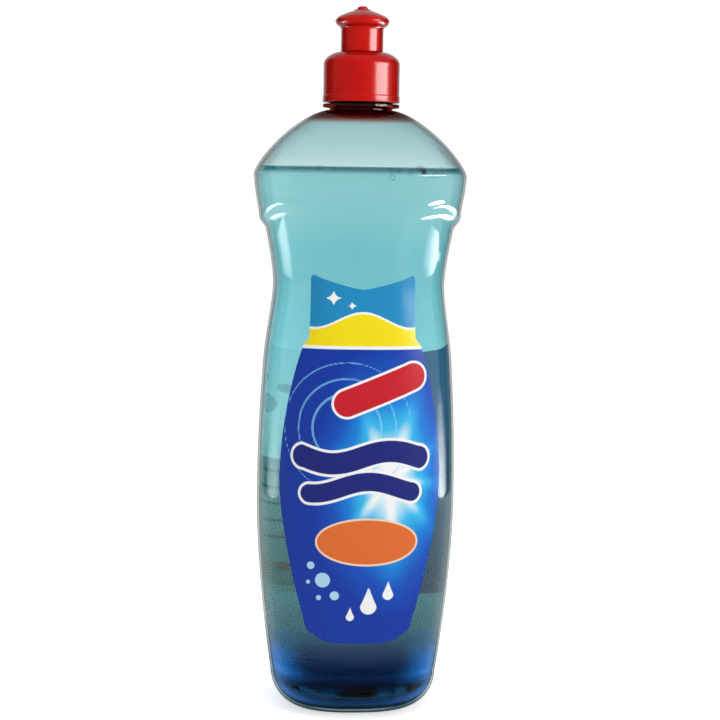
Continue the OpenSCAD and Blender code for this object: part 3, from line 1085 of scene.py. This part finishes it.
@dataclass
class Contents:
    """The liquid: it fills the bottle up to a level surface that climbs the wall in a meniscus."""

    form: BodyForm
    finish: RinseAid
    wall: float
    base_wall: float
    level: float = 228.0
    gap: float = 0.04
    climb: float = 1.1
    climb_w: float = 1.3

    def skin(self) -> tuple[Skin, dict[str, np.ndarray]]:
        """The liquid's body and its surface.

        The surface's height above the level falls off as the exponential of the distance from the wall over the
        meniscus's width.

        Returns:
            The skin, and two values for each point, which are 1 on the surface or on the base and 0 elsewhere.
        """
        form, t = self.form, self.wall + self.gap
        heights = np.concatenate([form.side_heights(), np.linspace(form.shoulder_z, self.level + self.climb, 7)])
        base = form.base_rows(self.base_wall + self.gap)
        body = Rows.joined(
            base,
            form.heel_rows(self.base_wall + self.gap, t),
            form.wall_rows(heights, t),
        )
        s = np.concatenate([1 - np.array([0.15, 0.35, 0.6, 0.9, 1.3, 1.8, 2.5, 3.5, 5.0]) / 40, np.linspace(0.8, 0.1, 8)])
        rim_x, rim_y, rim_z = body.half_x[-1], body.half_y[-1], body.level[-1]
        fall = np.exp(-(1 - s) * rim_x / self.climb_w)
        surface = Rows(rim_x * s, rim_y * s, np.full(len(s), body.square[-1]), self.level + (rim_z - self.level) * fall)
        rings = form.rings(Rows.joined(body, surface))
        poles = np.array([[0, 0, form.punt_h + self.base_wall + self.gap], [0, 0, self.level]])
        ring = np.repeat(np.arange(len(rings)), rings.shape[1])
        faces = {
            "open_surface": np.concatenate([ring >= len(body.level), [False, True]]),
            "base_face": np.concatenate([ring < len(base.level), [True, False]]),
        }
        return Skin.from_rings(rings, poles), faces

    def build(self) -> bpy.types.Object:
        """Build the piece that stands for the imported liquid."""
        skin, faces = self.skin()
        piece = make_piece(
            "rinse_aid", skin, [self.finish.material()], "bottle", ("rinse_liquid",), Shading.SOFT
        )
        for name, value in faces.items():
            kept = piece.data.attributes.new(name, "FLOAT", "POINT")
            kept.data.foreach_set("value", value.astype(np.float32))
        return piece


@dataclass(frozen=True)
class BubbleFilm:
    """Soap film of a bubble: clear, with bright edges from its gloss and a painted dark shade at its edges."""

    edge: str = "96c4c8"

    def material(self) -> bpy.types.Material:
        """Build the material."""
        material, tree = new_material("bubble_film")
        tilt = add_node(tree, "ShaderNodeLayerWeight", {"Blend": 0.5}).outputs["Facing"]
        along = add_node(tree, "ShaderNodeMath", {0: tilt, 1: 2.0}, operation="POWER").outputs[0]
        # Painted shade: seen along the film, its clear tint turns grey-blue
        tint = add_node(
            tree, "ShaderNodeMix", {0: along, 6: linear("ffffff"), 7: linear(self.edge)}, data_type="RGBA"
        ).outputs[2]
        clear = add_node(tree, "ShaderNodeBsdfTransparent", {"Color": tint})
        gloss = add_node(tree, "ShaderNodeBsdfGlossy", {"Roughness": 0.02})
        share = add_node(tree, "ShaderNodeMapRange", {"Value": along, "To Min": 0.1, "To Max": 0.5}).outputs[0]
        far = add_node(tree, "ShaderNodeNewGeometry").outputs["Backfacing"]
        near = add_node(tree, "ShaderNodeMath", {0: 1.0, 1: far}, operation="SUBTRACT").outputs[0]
        share = add_node(tree, "ShaderNodeMath", {0: share, 1: near}, operation="MULTIPLY").outputs[0]
        both = add_node(tree, "ShaderNodeMixShader", {0: share, 1: clear.outputs[0], 2: gloss.outputs[0]})
        add_node(tree, "ShaderNodeOutputMaterial", {"Surface": both.outputs[0]})
        return material


@dataclass
class Bubbles:
    """Bubbles that rest at the wall on the liquid's surface, most of them at the front right."""

    form: BodyForm
    finish: BubbleFilm
    level: float
    inset: float = 1.0
    count: int = 30
    seed: int = 7

    def skin(self) -> Skin:
        """Spheres at seeded places round the inside, each a little under or over the level."""
        chance = np.random.default_rng(self.seed)
        near = chance.uniform(size=self.count) < 0.7
        angle = np.radians(np.where(near, chance.normal(-62, 12, self.count), chance.uniform(-180, 180, self.count)))
        radius = chance.uniform(0.5, 1.4, self.count)
        lift = chance.uniform(-0.6, 0.5, self.count) - np.where(near, chance.exponential(0.9, self.count), 0)
        z = self.level + lift
        half_x, half_y = (self.form.half_at(z, k) - self.inset - radius for k in (0, 1))
        n = self.form.square_at(z)
        x = np.sign(np.cos(angle)) * half_x * np.abs(np.cos(angle)) ** (2 / n)
        y = np.sign(np.sin(angle)) * half_y * np.abs(np.sin(angle)) ** (2 / n)
        u = np.linspace(-90, 90, 11)[1:-1] * np.pi / 180
        ball = turned(np.stack([np.cos(u), np.sin(u)], -1), 18)
        ends = np.array([[0.0, 0.0, -1.0], [0.0, 0.0, 1.0]])
        places = np.stack([x, y, z], -1)
        return Skin.joined(*(Skin.from_rings(ball * r + p, ends * r + p) for r, p in zip(radius, places)))

    def build(self) -> bpy.types.Object:
        """Build the bubbles as one piece on the bottle's body."""
        return make_piece("bubbles", self.skin(), [self.finish.material()], "bottle", (), Shading.SOFT)


# Labels


@dataclass(frozen=True)
class ShieldCut:
    """Outline of the front label: a shield with a narrower tab on top."""

    low: float = 34.0
    mid: float = 100.0
    neck: float = 156.0
    top: float = 186.0
    low_w: float = 39.0
    mid_w: float = 65.5
    neck_w: float = 48.5
    tab_w: float = 43.0
    tab_run: float = 5.0
    tab_dip: float = 6.0
    low_rise: float = 4.0
    corner: float = 2.0

    def height(self, u: np.ndarray, v: np.ndarray) -> np.ndarray:
        """Height at the share v of the way up: the lower edge rises with the fifth power of u, the upper one dips."""
        low = self.low + self.low_rise * np.abs(u) ** 5
        high = self.top - self.tab_dip * (1 - np.abs(u) ** 1.3)
        return mix(low, high, v)

    def half_width(self, z: np.ndarray) -> np.ndarray:
        """Half of the width: power curves from the widest place down and up, a smooth step in to the tab, and
        quarter circles at the four corners."""
        below = clamp01((self.mid - z) / (self.mid - self.low))
        above = clamp01((z - self.mid) / (self.neck - self.mid))
        width = np.where(z < self.mid, mix(self.mid_w, self.low_w, below**1.5), mix(self.mid_w, self.neck_w, above**2))
        width = np.where(z > self.neck, mix(self.neck_w, self.tab_w, smooth((z - self.neck) / self.tab_run)), width)
        run = 1 - np.minimum(z - self.low - self.low_rise, self.top - z) / self.corner
        return width / 2 - self.corner * (1 - np.sqrt(1 - clamp01(run) ** 2))


@dataclass(frozen=True)
class PanelCut:
    """Outline of the back label: an upright panel with rounded corners."""

    low: float = 44.0
    top: float = 148.0
    width: float = 56.0
    corner: float = 6.0

    def height(self, u: np.ndarray, v: np.ndarray) -> np.ndarray:
        """Height at the share v of the way up, with rows closer together at both ends."""
        return mix(self.low, self.top, (1 - np.cos(np.pi * v)) / 2) + 0 * u

    def half_width(self, z: np.ndarray) -> np.ndarray:
        """Half of the width, less quarter circles at the corners."""
        run = clamp01(1 - np.minimum(z - self.low, self.top - z) / self.corner)
        return self.width / 2 - self.corner * (1 - np.sqrt(1 - run**2))


# Distances from the edges of simple shapes, in millimetres: across the film, up it, then the shape's own sizes


def from_disc(x: np.ndarray, z: np.ndarray, places: list[tuple[float, float, float]]) -> np.ndarray:
    """Distance from the nearest of several discs, given as middle across, middle up and radius."""
    return np.min([np.hypot(x - cx, z - cz) - r for cx, cz, r in places], axis=0)


def from_bar(x: np.ndarray, z: np.ndarray, start: tuple[float, float], end: tuple[float, float], r: float) -> np.ndarray:
    """Distance from a round-ended bar: that to the nearest point of its middle line, less its radius."""
    ax, az = end[0] - start[0], end[1] - start[1]
    t = clamp01(((x - start[0]) * ax + (z - start[1]) * az) / (ax**2 + az**2))
    return np.hypot(x - start[0] - t * ax, z - start[1] - t * az) - r


def from_panel(x: np.ndarray, z: np.ndarray, middle: tuple[float, float], half: tuple[float, float], r: float) -> np.ndarray:
    """Distance from a rectangle with rounded corners of radius r."""
    qx, qz = np.abs(x - middle[0]) - half[0] + r, np.abs(z - middle[1]) - half[1] + r
    return np.hypot(np.maximum(qx, 0), np.maximum(qz, 0)) + np.minimum(np.maximum(qx, qz), 0) - r


def from_oval(x: np.ndarray, z: np.ndarray, middle: tuple[float, float], half: tuple[float, float]) -> np.ndarray:
    """Near the edge of an ellipse, its distance: the scaled radius less one, over the length of its gradient."""
    px, pz = (x - middle[0]) / half[0], (z - middle[1]) / half[1]
    k = np.hypot(px, pz)
    slope = np.hypot(px / half[0], pz / half[1]) / np.maximum(k, 1e-6)
    return (k - 1) / np.maximum(slope, 1e-6)


def from_strip(
    x: np.ndarray, z: np.ndarray, line: Callable[[np.ndarray], np.ndarray], reach: float, half: float
) -> np.ndarray:
    """Distance from a round-ended strip along a curve, which reaches so far to both sides."""
    inside = np.clip(x, -reach, reach)
    slope = line(inside + 0.5) - line(inside - 0.5)
    return np.hypot(x - inside, (z - line(inside)) / np.sqrt(1 + slope**2)) - half


def from_star(x: np.ndarray, z: np.ndarray, places: list[tuple[float, float, float]]) -> np.ndarray:
    """Distance from the nearest of several four-pointed sparkles, bounded by an astroid: roots of both distances."""
    found = []
    for cx, cz, r in places:
        k = (np.sqrt(np.abs(x - cx) / r) + np.sqrt(np.abs(z - cz) / r)) ** 2
        found.append((k - 1) * r * 0.35)
    return np.min(found, axis=0)


def from_drop(x: np.ndarray, z: np.ndarray, places: list[tuple[float, float, float]]) -> np.ndarray:
    """Distance from the nearest of several drops: a disc whose radius shrinks towards a tip above it."""
    found = []
    for cx, cz, r in places:
        up = clamp01((z - cz) / (2.6 * r))
        found.append(np.hypot(x - cx, z - cz - up * 2.6 * r) - r * (1 - up) ** 1.2)
    return np.min(found, axis=0)


def front_fields() -> tuple[InkField, ...]:
    """A generic print in the colours of such a pack: waves, an oval, a ribbon, rings and drops."""
    return (
        InkField("rings", "8fdcff", lambda x, z: np.min([np.abs(np.hypot(x + 6, z - 124) - r) - w for r, w in
                 ((14, 0.5), (20, 0.4), (26.5, 0.3))], axis=0), cover=0.55),
        InkField("tab", "1b8fc6", lambda x, z: 156.9 - z),
        InkField("tab_wave", "ffe60f", lambda x, z: np.maximum(z - 167 - 3.2 * np.cos(x / 6.4), 156.9 - z), halo=0.9),
        InkField("tab_stars", "ffffff", lambda x, z: from_star(x, z, [(-12, 176.5, 4.2), (-4.5, 173.5, 2.4)])),
        InkField("rule", "ffffff", lambda x, z: np.abs(z - 156.6) - 0.65),
        InkField("ribbon", "cf1526", lambda x, z: from_bar(x, z, (-6, 134), (21, 145), 5.4), halo=1.0),
        InkField("wave_high", "0c1c78", lambda x, z: from_strip(x, z, lambda a: 112 + 2.6 * np.sin(a / 7.5), 24, 4.4),
                 halo=1.1),
        InkField("wave_low", "0c1c78", lambda x, z: from_strip(
            x, z, lambda a: 99.5 + 2.6 * np.sin(a / 7.5 + 1.1), 21, 3.8), halo=1.1),
        InkField("oval", "e8702e", lambda x, z: from_oval(x, z, (3, 77), (20.5, 9.2)), halo=0.8, halo_colour="ffd9b8"),
        InkField("beads", "bfeaff", lambda x, z: from_disc(
            x, z, [(-15, 61, 3.1), (-20, 67, 1.6), (-10, 54.5, 1.9), (-16.5, 53.5, 1.1), (-21, 60, 0.9)]), cover=0.9),
        InkField("drops", "ffffff", lambda x, z: from_drop(x, z, [(4, 50, 3.4), (12, 55, 2.3), (-3.5, 45.5, 1.7)])),
    )


def back_fields() -> tuple[InkField, ...]:
    """The back label's generic print on clear film: a blue field with a swung edge, a pale panel and small marks."""
    def sweep(x: np.ndarray, z: np.ndarray) -> np.ndarray:
        return (x + 4 - 0.0042 * (z - 44) ** 2 + 0.42 * (z - 44)) * 0.9

    return (
        InkField("panel", "cfdcd6", lambda x, z: from_panel(x, z, (10, 74), (16, 27), 3)),
        InkField("sweep", "0c5fb4", sweep),
        InkField("sweep_line", "ffd90a", lambda x, z: np.abs(sweep(x, z) - 1.8) - 0.8),
        InkField("stripes", "3f6f9f", lambda x, z: np.maximum(
            np.abs((z - 64) % 7 - 3.5) - 0.6, from_panel(x, z, (11, 80), (11, 17.5), 0.5))),
        InkField("dots", "e8702e", lambda x, z: from_disc(x, z, [(3, 55, 3), (11, 55, 3), (19, 55, 3)])),
        InkField("beads", "ffffff", lambda x, z: from_disc(
            x, z, [(12, 124, 4.2), (18, 132, 2.6), (10, 135, 1.6), (19, 119, 1.4)]), cover=0.85),
    )


@dataclass
class FilmLabel:
    """A label: thin film that follows the body's skin, with the print's distances kept on its corners."""

    name: str
    node: str
    slot: str
    form: BodyForm
    cut: ShieldCut | PanelCut
    side: int
    finish: PrintedFilm
    ground: Callable[[np.ndarray, np.ndarray], np.ndarray]
    lift: float = 0.03
    thick: float = 0.09
    cells: tuple[int, int] = (84, 190)

    def build(self) -> bpy.types.Object:
        """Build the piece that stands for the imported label.

        The grid's places across are u times the half width at each height. How far a corner lies across the film
        is the summed length of the row from the middle.
        """
        across, up = self.cells
        v, u = np.meshgrid(np.linspace(0, 1, up + 1), np.linspace(-1, 1, across + 1), indexing="ij")
        z = self.cut.height(u, v)
        x = u * self.cut.half_width(z)
        outer = self.form.film_points(x, z, self.side, self.lift + self.thick)
        inner = self.form.film_points(x, z, self.side, self.lift)
        skin = Skin.from_sheet(outer, inner)
        materials = [self.finish.front(), self.finish.back()]
        piece = make_piece(self.name, skin, materials, "bottle", (self.node,))
        mesh = piece.data
        slots = np.zeros(len(mesh.polygons), np.int32)
        slots[across * up :] = 1
        mesh.polygons.foreach_set("material_index", slots)
        steps = np.hypot(np.diff(outer[..., 0], axis=1), np.diff(outer[..., 1], axis=1))
        run = np.concatenate([np.zeros((up + 1, 1)), np.cumsum(steps, 1)], 1)
        film_x = -self.side * (run - run[:, across // 2 : across // 2 + 1])
        film_z = z
        values = {"ground": self.ground(film_x, film_z)}
        values.update({f.name: f.distance(film_x, film_z) for f in self.finish.fields})
        for name, value in values.items():
            kept = mesh.attributes.new(name, "FLOAT", "POINT")
            kept.data.foreach_set("value", np.tile(value.ravel(), 2).astype(np.float32))
        return piece


# Closure


@dataclass
class ClosureCap:
    """The screwed closure: skirt, rounded slope, spout tube with its bead, and the post on three webs."""

    finish: RedPolypropylene
    lip_z: float
    rim_z: float = 255.5
    cap_r: float = 16.0
    wall: float = 1.7
    band_h: float = 2.6
    deck_z: float = 271.4
    slope_h: float = 4.8
    seat_r: float = 10.2
    spout_r: float = 7.0
    spout_wall: float = 1.2
    bead_r: float = 7.4
    bead_z: float = 283.6
    bead_h: float = 1.5
    deck_t: float = 1.5
    post_r: float = 2.2
    post_z: float = 295.0
    columns: int = 176

    @property
    def seat_z(self) -> float:
        """Height of the flat that the nozzle rests on."""
        return self.deck_z - 0.2 + self.slope_h

    def outline(self) -> tuple[np.ndarray, np.ndarray]:
        """Corners of the turned section, with the radius of each corner."""
        r, z, seat = self.cap_r, self.rim_z, self.seat_z
        bore, tube, corner = r - self.wall, self.spout_r - self.spout_wall, self.deck_z - 0.2
        # The slope's section is a quarter of a superellipse: 1.5 powers of the cosine across, sines up
        turn = np.linspace(0, np.pi / 2, 13)
        slope = np.stack([mix(self.seat_r, r - 0.2, np.cos(turn) ** 1.5), mix(corner, seat, np.sin(turn))], -1)
        low = [[bore, z], [r, z], [r, z + self.band_h], [r - 0.2, z + self.band_h + 0.25]]
        high = [
            [self.spout_r, seat],
            [self.spout_r, self.bead_z],
            [self.bead_r, self.bead_z + 0.5],
            [self.bead_r, self.bead_z + self.bead_h - 0.6],
            [self.bead_r - 0.5, self.bead_z + self.bead_h],
            [tube, self.bead_z + self.bead_h],
            [tube, seat - self.deck_t],
            [self.seat_r - 0.6, seat - self.deck_t],
            [self.seat_r + 0.5, self.deck_z],
            [bore, self.deck_z],
        ]
        corners = np.array([*low, *slope.tolist(), *high])
        radii = np.array([0.3, 0.35, 0.2, 0.2] + [0.4] * len(slope) + [0.5] + [0.25] * (len(high) - 1))
        return corners, radii

    def shell(self) -> Skin:
        """The turned moulding, with its inner thread raised on the bore."""
        corners, radii = self.outline()
        section = rounded(corners, radii, 5)
        bore = self.cap_r - self.wall
        tall = np.linspace(self.deck_z - 0.5, self.rim_z + 0.5, 64)
        section = np.concatenate([section, np.stack([np.full(64, bore), tall], -1)])
        # The section ends at the bore's top corner and starts again at the rim's, so the bore's rows close the loop
        rings = turned(section, self.columns)
        thread = Thread(bore, 13.1, self.lip_z - 2.2 - 1.5 * 4.233 + 4.233 / 2, 1.0)
        angle = np.arange(self.columns)[None, :] * 2 * np.pi / self.columns
        rise = thread.rise(angle, tall[:, None])
        rings[-64:, :, 0] += rise * np.cos(angle)
        rings[-64:, :, 1] += rise * np.sin(angle)
        return Skin.from_rings(rings, loop=True)

    def post(self) -> Skin:
        """The centre post, turned, on three webs in the spout."""
        r, web_z, web_h, top = self.post_r, self.seat_z + 1, 5.0, self.post_z
        side = np.array([[r + 0.3, web_z], [r + 0.3, web_z + web_h], [r, web_z + web_h + 0.6], [r, top - 1.0]])
        # The tip is a quarter ellipse
        turn = np.linspace(0.1, np.pi / 2 - 0.08, 9)
        tip = np.stack([r * np.cos(turn) ** 0.8, top - 1.0 + np.sin(turn)], -1)
        rings = turned(np.concatenate([side, tip]), 72)
        post = Skin.from_rings(rings, np.array([[0, 0, web_z], [0, 0, top]]))
        reach = self.spout_r - self.spout_wall / 2 - r + 0.4
        middle = (r - 0.4 + reach / 2, 0.0, web_z + web_h / 2)
        webs = [rounded_block(middle, (reach / 2, 0.6, web_h / 2), turn) for turn in (30, 150, 270)]
        return Skin.joined(post, *webs)

    def build(self) -> bpy.types.Object:
        """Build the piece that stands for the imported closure."""
        skin = Skin.joined(self.shell(), self.post())
        return make_piece("screw_closure", skin, [self.finish.material()], "closure", ("closure_cap",))


@dataclass
class PullNozzle:
    """The nozzle that slides on the spout: sleeve, pull flange with a drooping brim, and a shallow crown."""

    finish: RedPolypropylene
    seat_z: float
    slip: float = 0.2
    sleeve_r: float = 8.75
    sleeve_h: float = 10.0
    wall: float = 1.15
    flange_r: float = 11.2
    flange_h: float = 4.6
    crown_h: float = 2.8
    outlet_r: float = 2.4
    spout_r: float = 7.0
    columns: int = 176

    def build(self) -> bpy.types.Object:
        """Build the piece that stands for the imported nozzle: its section, rounded and turned."""
        r, brim, inner = self.sleeve_r, self.flange_r, self.sleeve_r - self.wall
        low = self.seat_z + self.slip
        flange = low + self.sleeve_h
        top = flange + self.flange_h
        crown = top + self.crown_h
        roof, rib = crown - 3.0, self.spout_r + self.slip
        corners = [
            ([rib, low], 0.3),
            ([r, low], 0.3),
            ([r, flange - 0.2], 0.8),
            ([brim - 0.6, flange + 1.1], 0.6),
            ([brim, top - 2.3], 0.6),
            ([brim - 0.1, top - 1.3], 0.5),
            ([brim - 1.2, top - 0.2], 0.7),
            ([brim * 0.62, top + self.crown_h * 0.45], 1.5),
            ([self.outlet_r + 1.4, crown - 0.5], 0.6),
            ([self.outlet_r + 0.9, crown], 0.35),
            ([self.outlet_r, crown], 0.35),
            ([self.outlet_r, roof], 0.2),
            ([inner, roof], 0.4),
            ([inner, low + 1.5], 0.2),
            ([rib, low + 1.2], 0.2),
        ]
        section = rounded(np.array([c for c, _ in corners]), np.array([k for _, k in corners]), 7)
        skin = Skin.from_rings(turned(section, self.columns), loop=True)
        return make_piece("pull_nozzle_top", skin, [self.finish.material()], "nozzle", ("pull_nozzle",))


# Studio


class Seen(Enum):
    """Which rays find a softbox."""

    MATT = "lights surfaces but doesn't show in gloss"
    GLOSS = "shows in gloss only"


@dataclass(frozen=True)
class Softbox:
    """A rectangular lamp round the bottle.

    Attributes:
        name: Name of the lamp.
        azimuth: Degrees round the bottle, 0 in front of it and 90 to its right.
        elevation: Degrees above the level of its target.
        distance: Metres from the target.
        size: Width and height in metres.
        brightness: What the lamp's face would read in a picture, where 1 is white.
        seen: Which rays find it.
        aim: Height in metres of the target on the bottle's axis.
        spread: Degrees of the cone that a grid before the lamp lets through, 180 without one.
    """

    name: str
    azimuth: float
    elevation: float
    distance: float
    size: tuple[float, float]
    brightness: float
    seen: Seen = Seen.MATT
    aim: float = 0.15
    spread: float = 180.0

    def build(self) -> bpy.types.Object:
        """Place the lamp so that it faces its target.

        Returns:
            The lamp.
        """
        lamp = bpy.data.lights.new(self.name, "AREA")
        lamp.shape, lamp.size, lamp.size_y = "RECTANGLE", *self.size
        # The power of a lamp whose face sends out that brightness, less what a grid of that half angle keeps back
        half = math.radians(self.spread) / 2
        passed = 1.0 if self.spread >= 180 else 1 - half / math.tan(half)
        lamp.energy = self.brightness * math.pi * self.size[0] * self.size[1] * passed
        lamp.spread = math.radians(self.spread)
        a, e = math.radians(self.azimuth), math.radians(self.elevation)
        way = Vector((math.sin(a) * math.cos(e), -math.cos(a) * math.cos(e), math.sin(e)))
        box = bpy.data.objects.new(self.name, lamp)
        box.location = Vector((0, 0, self.aim)) + way * self.distance
        box.rotation_euler = way.to_track_quat("Z", "Y").to_euler()
        box.visible_camera = False
        box.visible_transmission = False
        box.visible_diffuse = self.seen is Seen.MATT
        box.visible_glossy = self.seen is Seen.GLOSS
        bpy.context.scene.collection.objects.link(box)
        return box


@dataclass
class Studio:
    """A plain pale floor, soft light from all round, and the camera of the photograph."""

    ambient: float = 0.43
    floor_glow: float = 0.63
    floor_r: float = 4.0
    lens: float = 83.8
    camera_at: tuple[float, float, float] = (-0.04613, -0.70379, 0.2277)
    pitch: float = 6.47
    roll: float = 0.93
    shift: float = 3 / 720

    def world(self) -> None:
        """A white surround that lights at the ambient level and shows white to the eye, in gloss and through glass."""
        world = bpy.data.worlds.new("studio")
        bpy.context.scene.world = world
        world.use_nodes = True
        tree = world.node_tree
        tree.nodes.clear()
        path = add_node(tree, "ShaderNodeLightPath").outputs
        seen = add_node(
            tree, "ShaderNodeMath", {0: path["Is Camera Ray"], 1: path["Is Glossy Ray"]}, operation="MAXIMUM"
        )
        seen = add_node(
            tree, "ShaderNodeMath", {0: seen.outputs[0], 1: path["Is Transmission Ray"]}, operation="MAXIMUM"
        )
        level = add_node(
            tree, "ShaderNodeMapRange", {"Value": seen.outputs[0], "To Min": self.ambient, "To Max": 1.0}
        )
        sky = add_node(tree, "ShaderNodeBackground", {"Strength": level.outputs[0]})
        sky.inputs["Color"].default_value = (1.0, 1.0, 1.0, 1.0)
        add_node(tree, "ShaderNodeOutputWorld", {"Surface": sky.outputs[0]})

    def floor(self) -> None:
        """A round pale floor that shows white to the eye where no shadow falls on it."""
        material, tree = new_material("pale_floor")
        path = add_node(tree, "ShaderNodeLightPath").outputs
        seen = add_node(
            tree, "ShaderNodeMath", {0: path["Is Camera Ray"], 1: path["Is Glossy Ray"]}, operation="MAXIMUM"
        )
        seen = add_node(
            tree, "ShaderNodeMath", {0: seen.outputs[0], 1: path["Is Transmission Ray"]}, operation="MAXIMUM"
        )
        paint = add_node(tree, "ShaderNodeBsdfDiffuse", {"Color": linear("f2f2f2")})
        glow = add_node(
            tree,
            "ShaderNodeMath",
            {0: seen.outputs[0], 1: self.floor_glow},
            operation="MULTIPLY",
        )
        light = add_node(tree, "ShaderNodeEmission", {"Strength": glow.outputs[0]})
        both = add_node(tree, "ShaderNodeAddShader", {0: paint.outputs[0], 1: light.outputs[0]})
        add_node(tree, "ShaderNodeOutputMaterial", {"Surface": both.outputs[0]})
        angle = np.arange(96) * 2 * np.pi / 96
        edge = np.stack([self.floor_r * np.cos(angle), self.floor_r * np.sin(angle), 0 * angle], -1)
        mesh = bpy.data.meshes.new("floor")
        mesh.from_pydata(edge.tolist(), [], [list(range(96))])
        mesh.materials.append(material)
        plane = bpy.data.objects.new("floor", mesh)
        bpy.context.scene.collection.objects.link(plane)

    def flag(self, name: str, azimuth: float, distance: float, size: tuple[float, float]) -> None:
        """Stand a dark card beside the bottle, which only gloss shows: it draws the edges of the closure.

        Args:
            name: Name of the card.
            azimuth: Degrees round the bottle, 0 in front of it and 90 to its right.
            distance: Metres from the bottle.
            size: Width and height in metres.
        """
        material, tree = new_material(name)
        paint = add_node(tree, "ShaderNodeBsdfDiffuse", {"Color": linear("1c2022")})
        add_node(tree, "ShaderNodeOutputMaterial", {"Surface": paint.outputs[0]})
        a = math.radians(azimuth)
        way, across = np.array([math.sin(a), -math.cos(a), 0]), np.array([math.cos(a), math.sin(a), 0])
        corners = [way * distance + across * u * size[0] / 2 + np.array([0, 0, v * size[1]]) for u, v in
                   ((-1, 0.001), (1, 0.001), (1, 1), (-1, 1))]
        mesh = bpy.data.meshes.new(name)
        mesh.from_pydata([c.tolist() for c in corners], [], [[0, 1, 2, 3]])
        mesh.materials.append(material)
        card = bpy.data.objects.new(name, mesh)
        card.visible_camera = card.visible_diffuse = card.visible_transmission = card.visible_shadow = False
        bpy.context.scene.collection.objects.link(card)

    def camera(self) -> None:
        """The photograph's view: nearly level with the liquid, looking down a little, leaning by the roll."""
        eye = Vector(self.camera_at)
        level = Vector((-eye.x, -eye.y, 0)).normalized()
        p, lean = math.radians(self.pitch), math.radians(self.roll)
        ahead = level * math.cos(p) - Vector((0, 0, math.sin(p)))
        right = ahead.cross(Vector((0, 0, 1))).normalized()
        up = right.cross(ahead)
        tilted_up = up * math.cos(lean) - right * math.sin(lean)
        tilted_right = right * math.cos(lean) + up * math.sin(lean)
        data = bpy.data.cameras.new("photo_view")
        data.lens, data.sensor_width, data.shift_x = self.lens, 36.0, self.shift
        data.clip_start, data.clip_end = 0.01, 50.0
        camera = bpy.data.objects.new("photo_view", data)
        axes = Matrix((tilted_right, tilted_up, -ahead)).transposed()
        camera.matrix_world = Matrix.Translation(eye) @ axes.to_4x4()
        bpy.context.scene.collection.objects.link(camera)
        bpy.context.scene.camera = camera

    def build(self) -> None:
        """Build the studio."""
        self.world()
        self.floor()
        self.flag("card_left", -118, 0.5, (0.36, 0.6))
        self.flag("card_right", 118, 0.5, (0.36, 0.6))
        boxes = (
            Softbox("key_right", 40, 22, 1.4, (0.6, 0.9), 4.3),
            Softbox("fill_left", -50, 25, 1.5, (0.9, 0.9), 0.3),
            Softbox("top", 15, 74, 1.2, (0.8, 0.8), 1.8),
            Softbox("gloss_right", 60, 15.0, 0.569, (0.4, 0.167), 50.0, Seen.GLOSS),
            Softbox("low_right", 101, -35, 0.378, (0.34, 0.11), 52.0, Seen.GLOSS, 0.307, 62),
            Softbox("low_left", -105, -35, 0.378, (0.24, 0.11), 20.0, Seen.GLOSS, 0.307, 62),
        )
        for box in boxes:
            box.build()
        self.camera()
        settings = bpy.context.scene.view_settings
        settings.view_transform = "Standard"


def front_ground(x: np.ndarray, z: np.ndarray) -> np.ndarray:
    """Brightness of the front's blue ground: a glow with soft rays that spread from it.

    It falls off with the distance from the glow's middle, and the fifth power of a cosine of nine times the angle
    round it adds the rays, which fade in over the first 8 mm.
    """
    across, up = x - 12, z - 103
    away = np.hypot(across / 0.95, up / 1.7)
    angle = np.arctan2(up, across)
    rays = np.abs(np.cos(4.5 * angle + 0.6)) ** 5 * smooth(away / 8) * clamp01(1 - away / 40)
    return clamp01(1.12 - away / 30 + 0.24 * rays)


def back_ground(x: np.ndarray, z: np.ndarray) -> np.ndarray:
    """Brightness of the back's blue ground: it rises towards the top."""
    return clamp01((z - 44) / 104)


def main() -> None:
    """Build the pieces and the studio."""
    logging.basicConfig(level=logging.INFO, format="%(name)s: %(message)s")
    form = BodyForm()
    bottle = ClearBottle(form, ClearPet())
    blues = ((0.0, "0036a6"), (0.28, "0450be"), (0.5, "0a82e0"), (0.72, "3cc2f4"), (0.9, "d8f6ff"), (1.0, "ffffff"))
    front = FilmLabel(
        "front_film", "front_label", "front_film", form, ShieldCut(), -1,
        PrintedFilm("printed_film_front", blues, front_fields(), "4f86c8", 0.72, thin=0.35), front_ground,
    )
    plain = ((0.0, "c3d6cf"), (0.5, "e4eeee"), (1.0, "f4f8f9"))
    rear = FilmLabel(
        "back_film", "back_label", "back_film", form, PanelCut(), 1,
        PrintedFilm("printed_film_back", plain, back_fields(), "3f8cc0", 0.4, 0.0, 0.5), back_ground,
    )
    cap = ClosureCap(RedPolypropylene("red_polypropylene_cap", "d8120a", "c00c06"), bottle.lip_z)
    nozzle = PullNozzle(RedPolypropylene("red_polypropylene_nozzle", "da140a", "c40e06", roughness=0.18), cap.seat_z)
    parts = (
        bottle,
        Contents(form, RinseAid(), bottle.wall, bottle.base_wall),
        Bubbles(form, BubbleFilm(), Contents.level),
        front,
        rear,
        cap,
        nozzle,
    )
    for part in parts:
        part.build()
    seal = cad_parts["sealing_ring"]
    seal.data.materials.clear()
    seal.data.materials.append(PolyethyleneFoam().material())
    Studio().build()


if __name__ == "__main__":
    main()
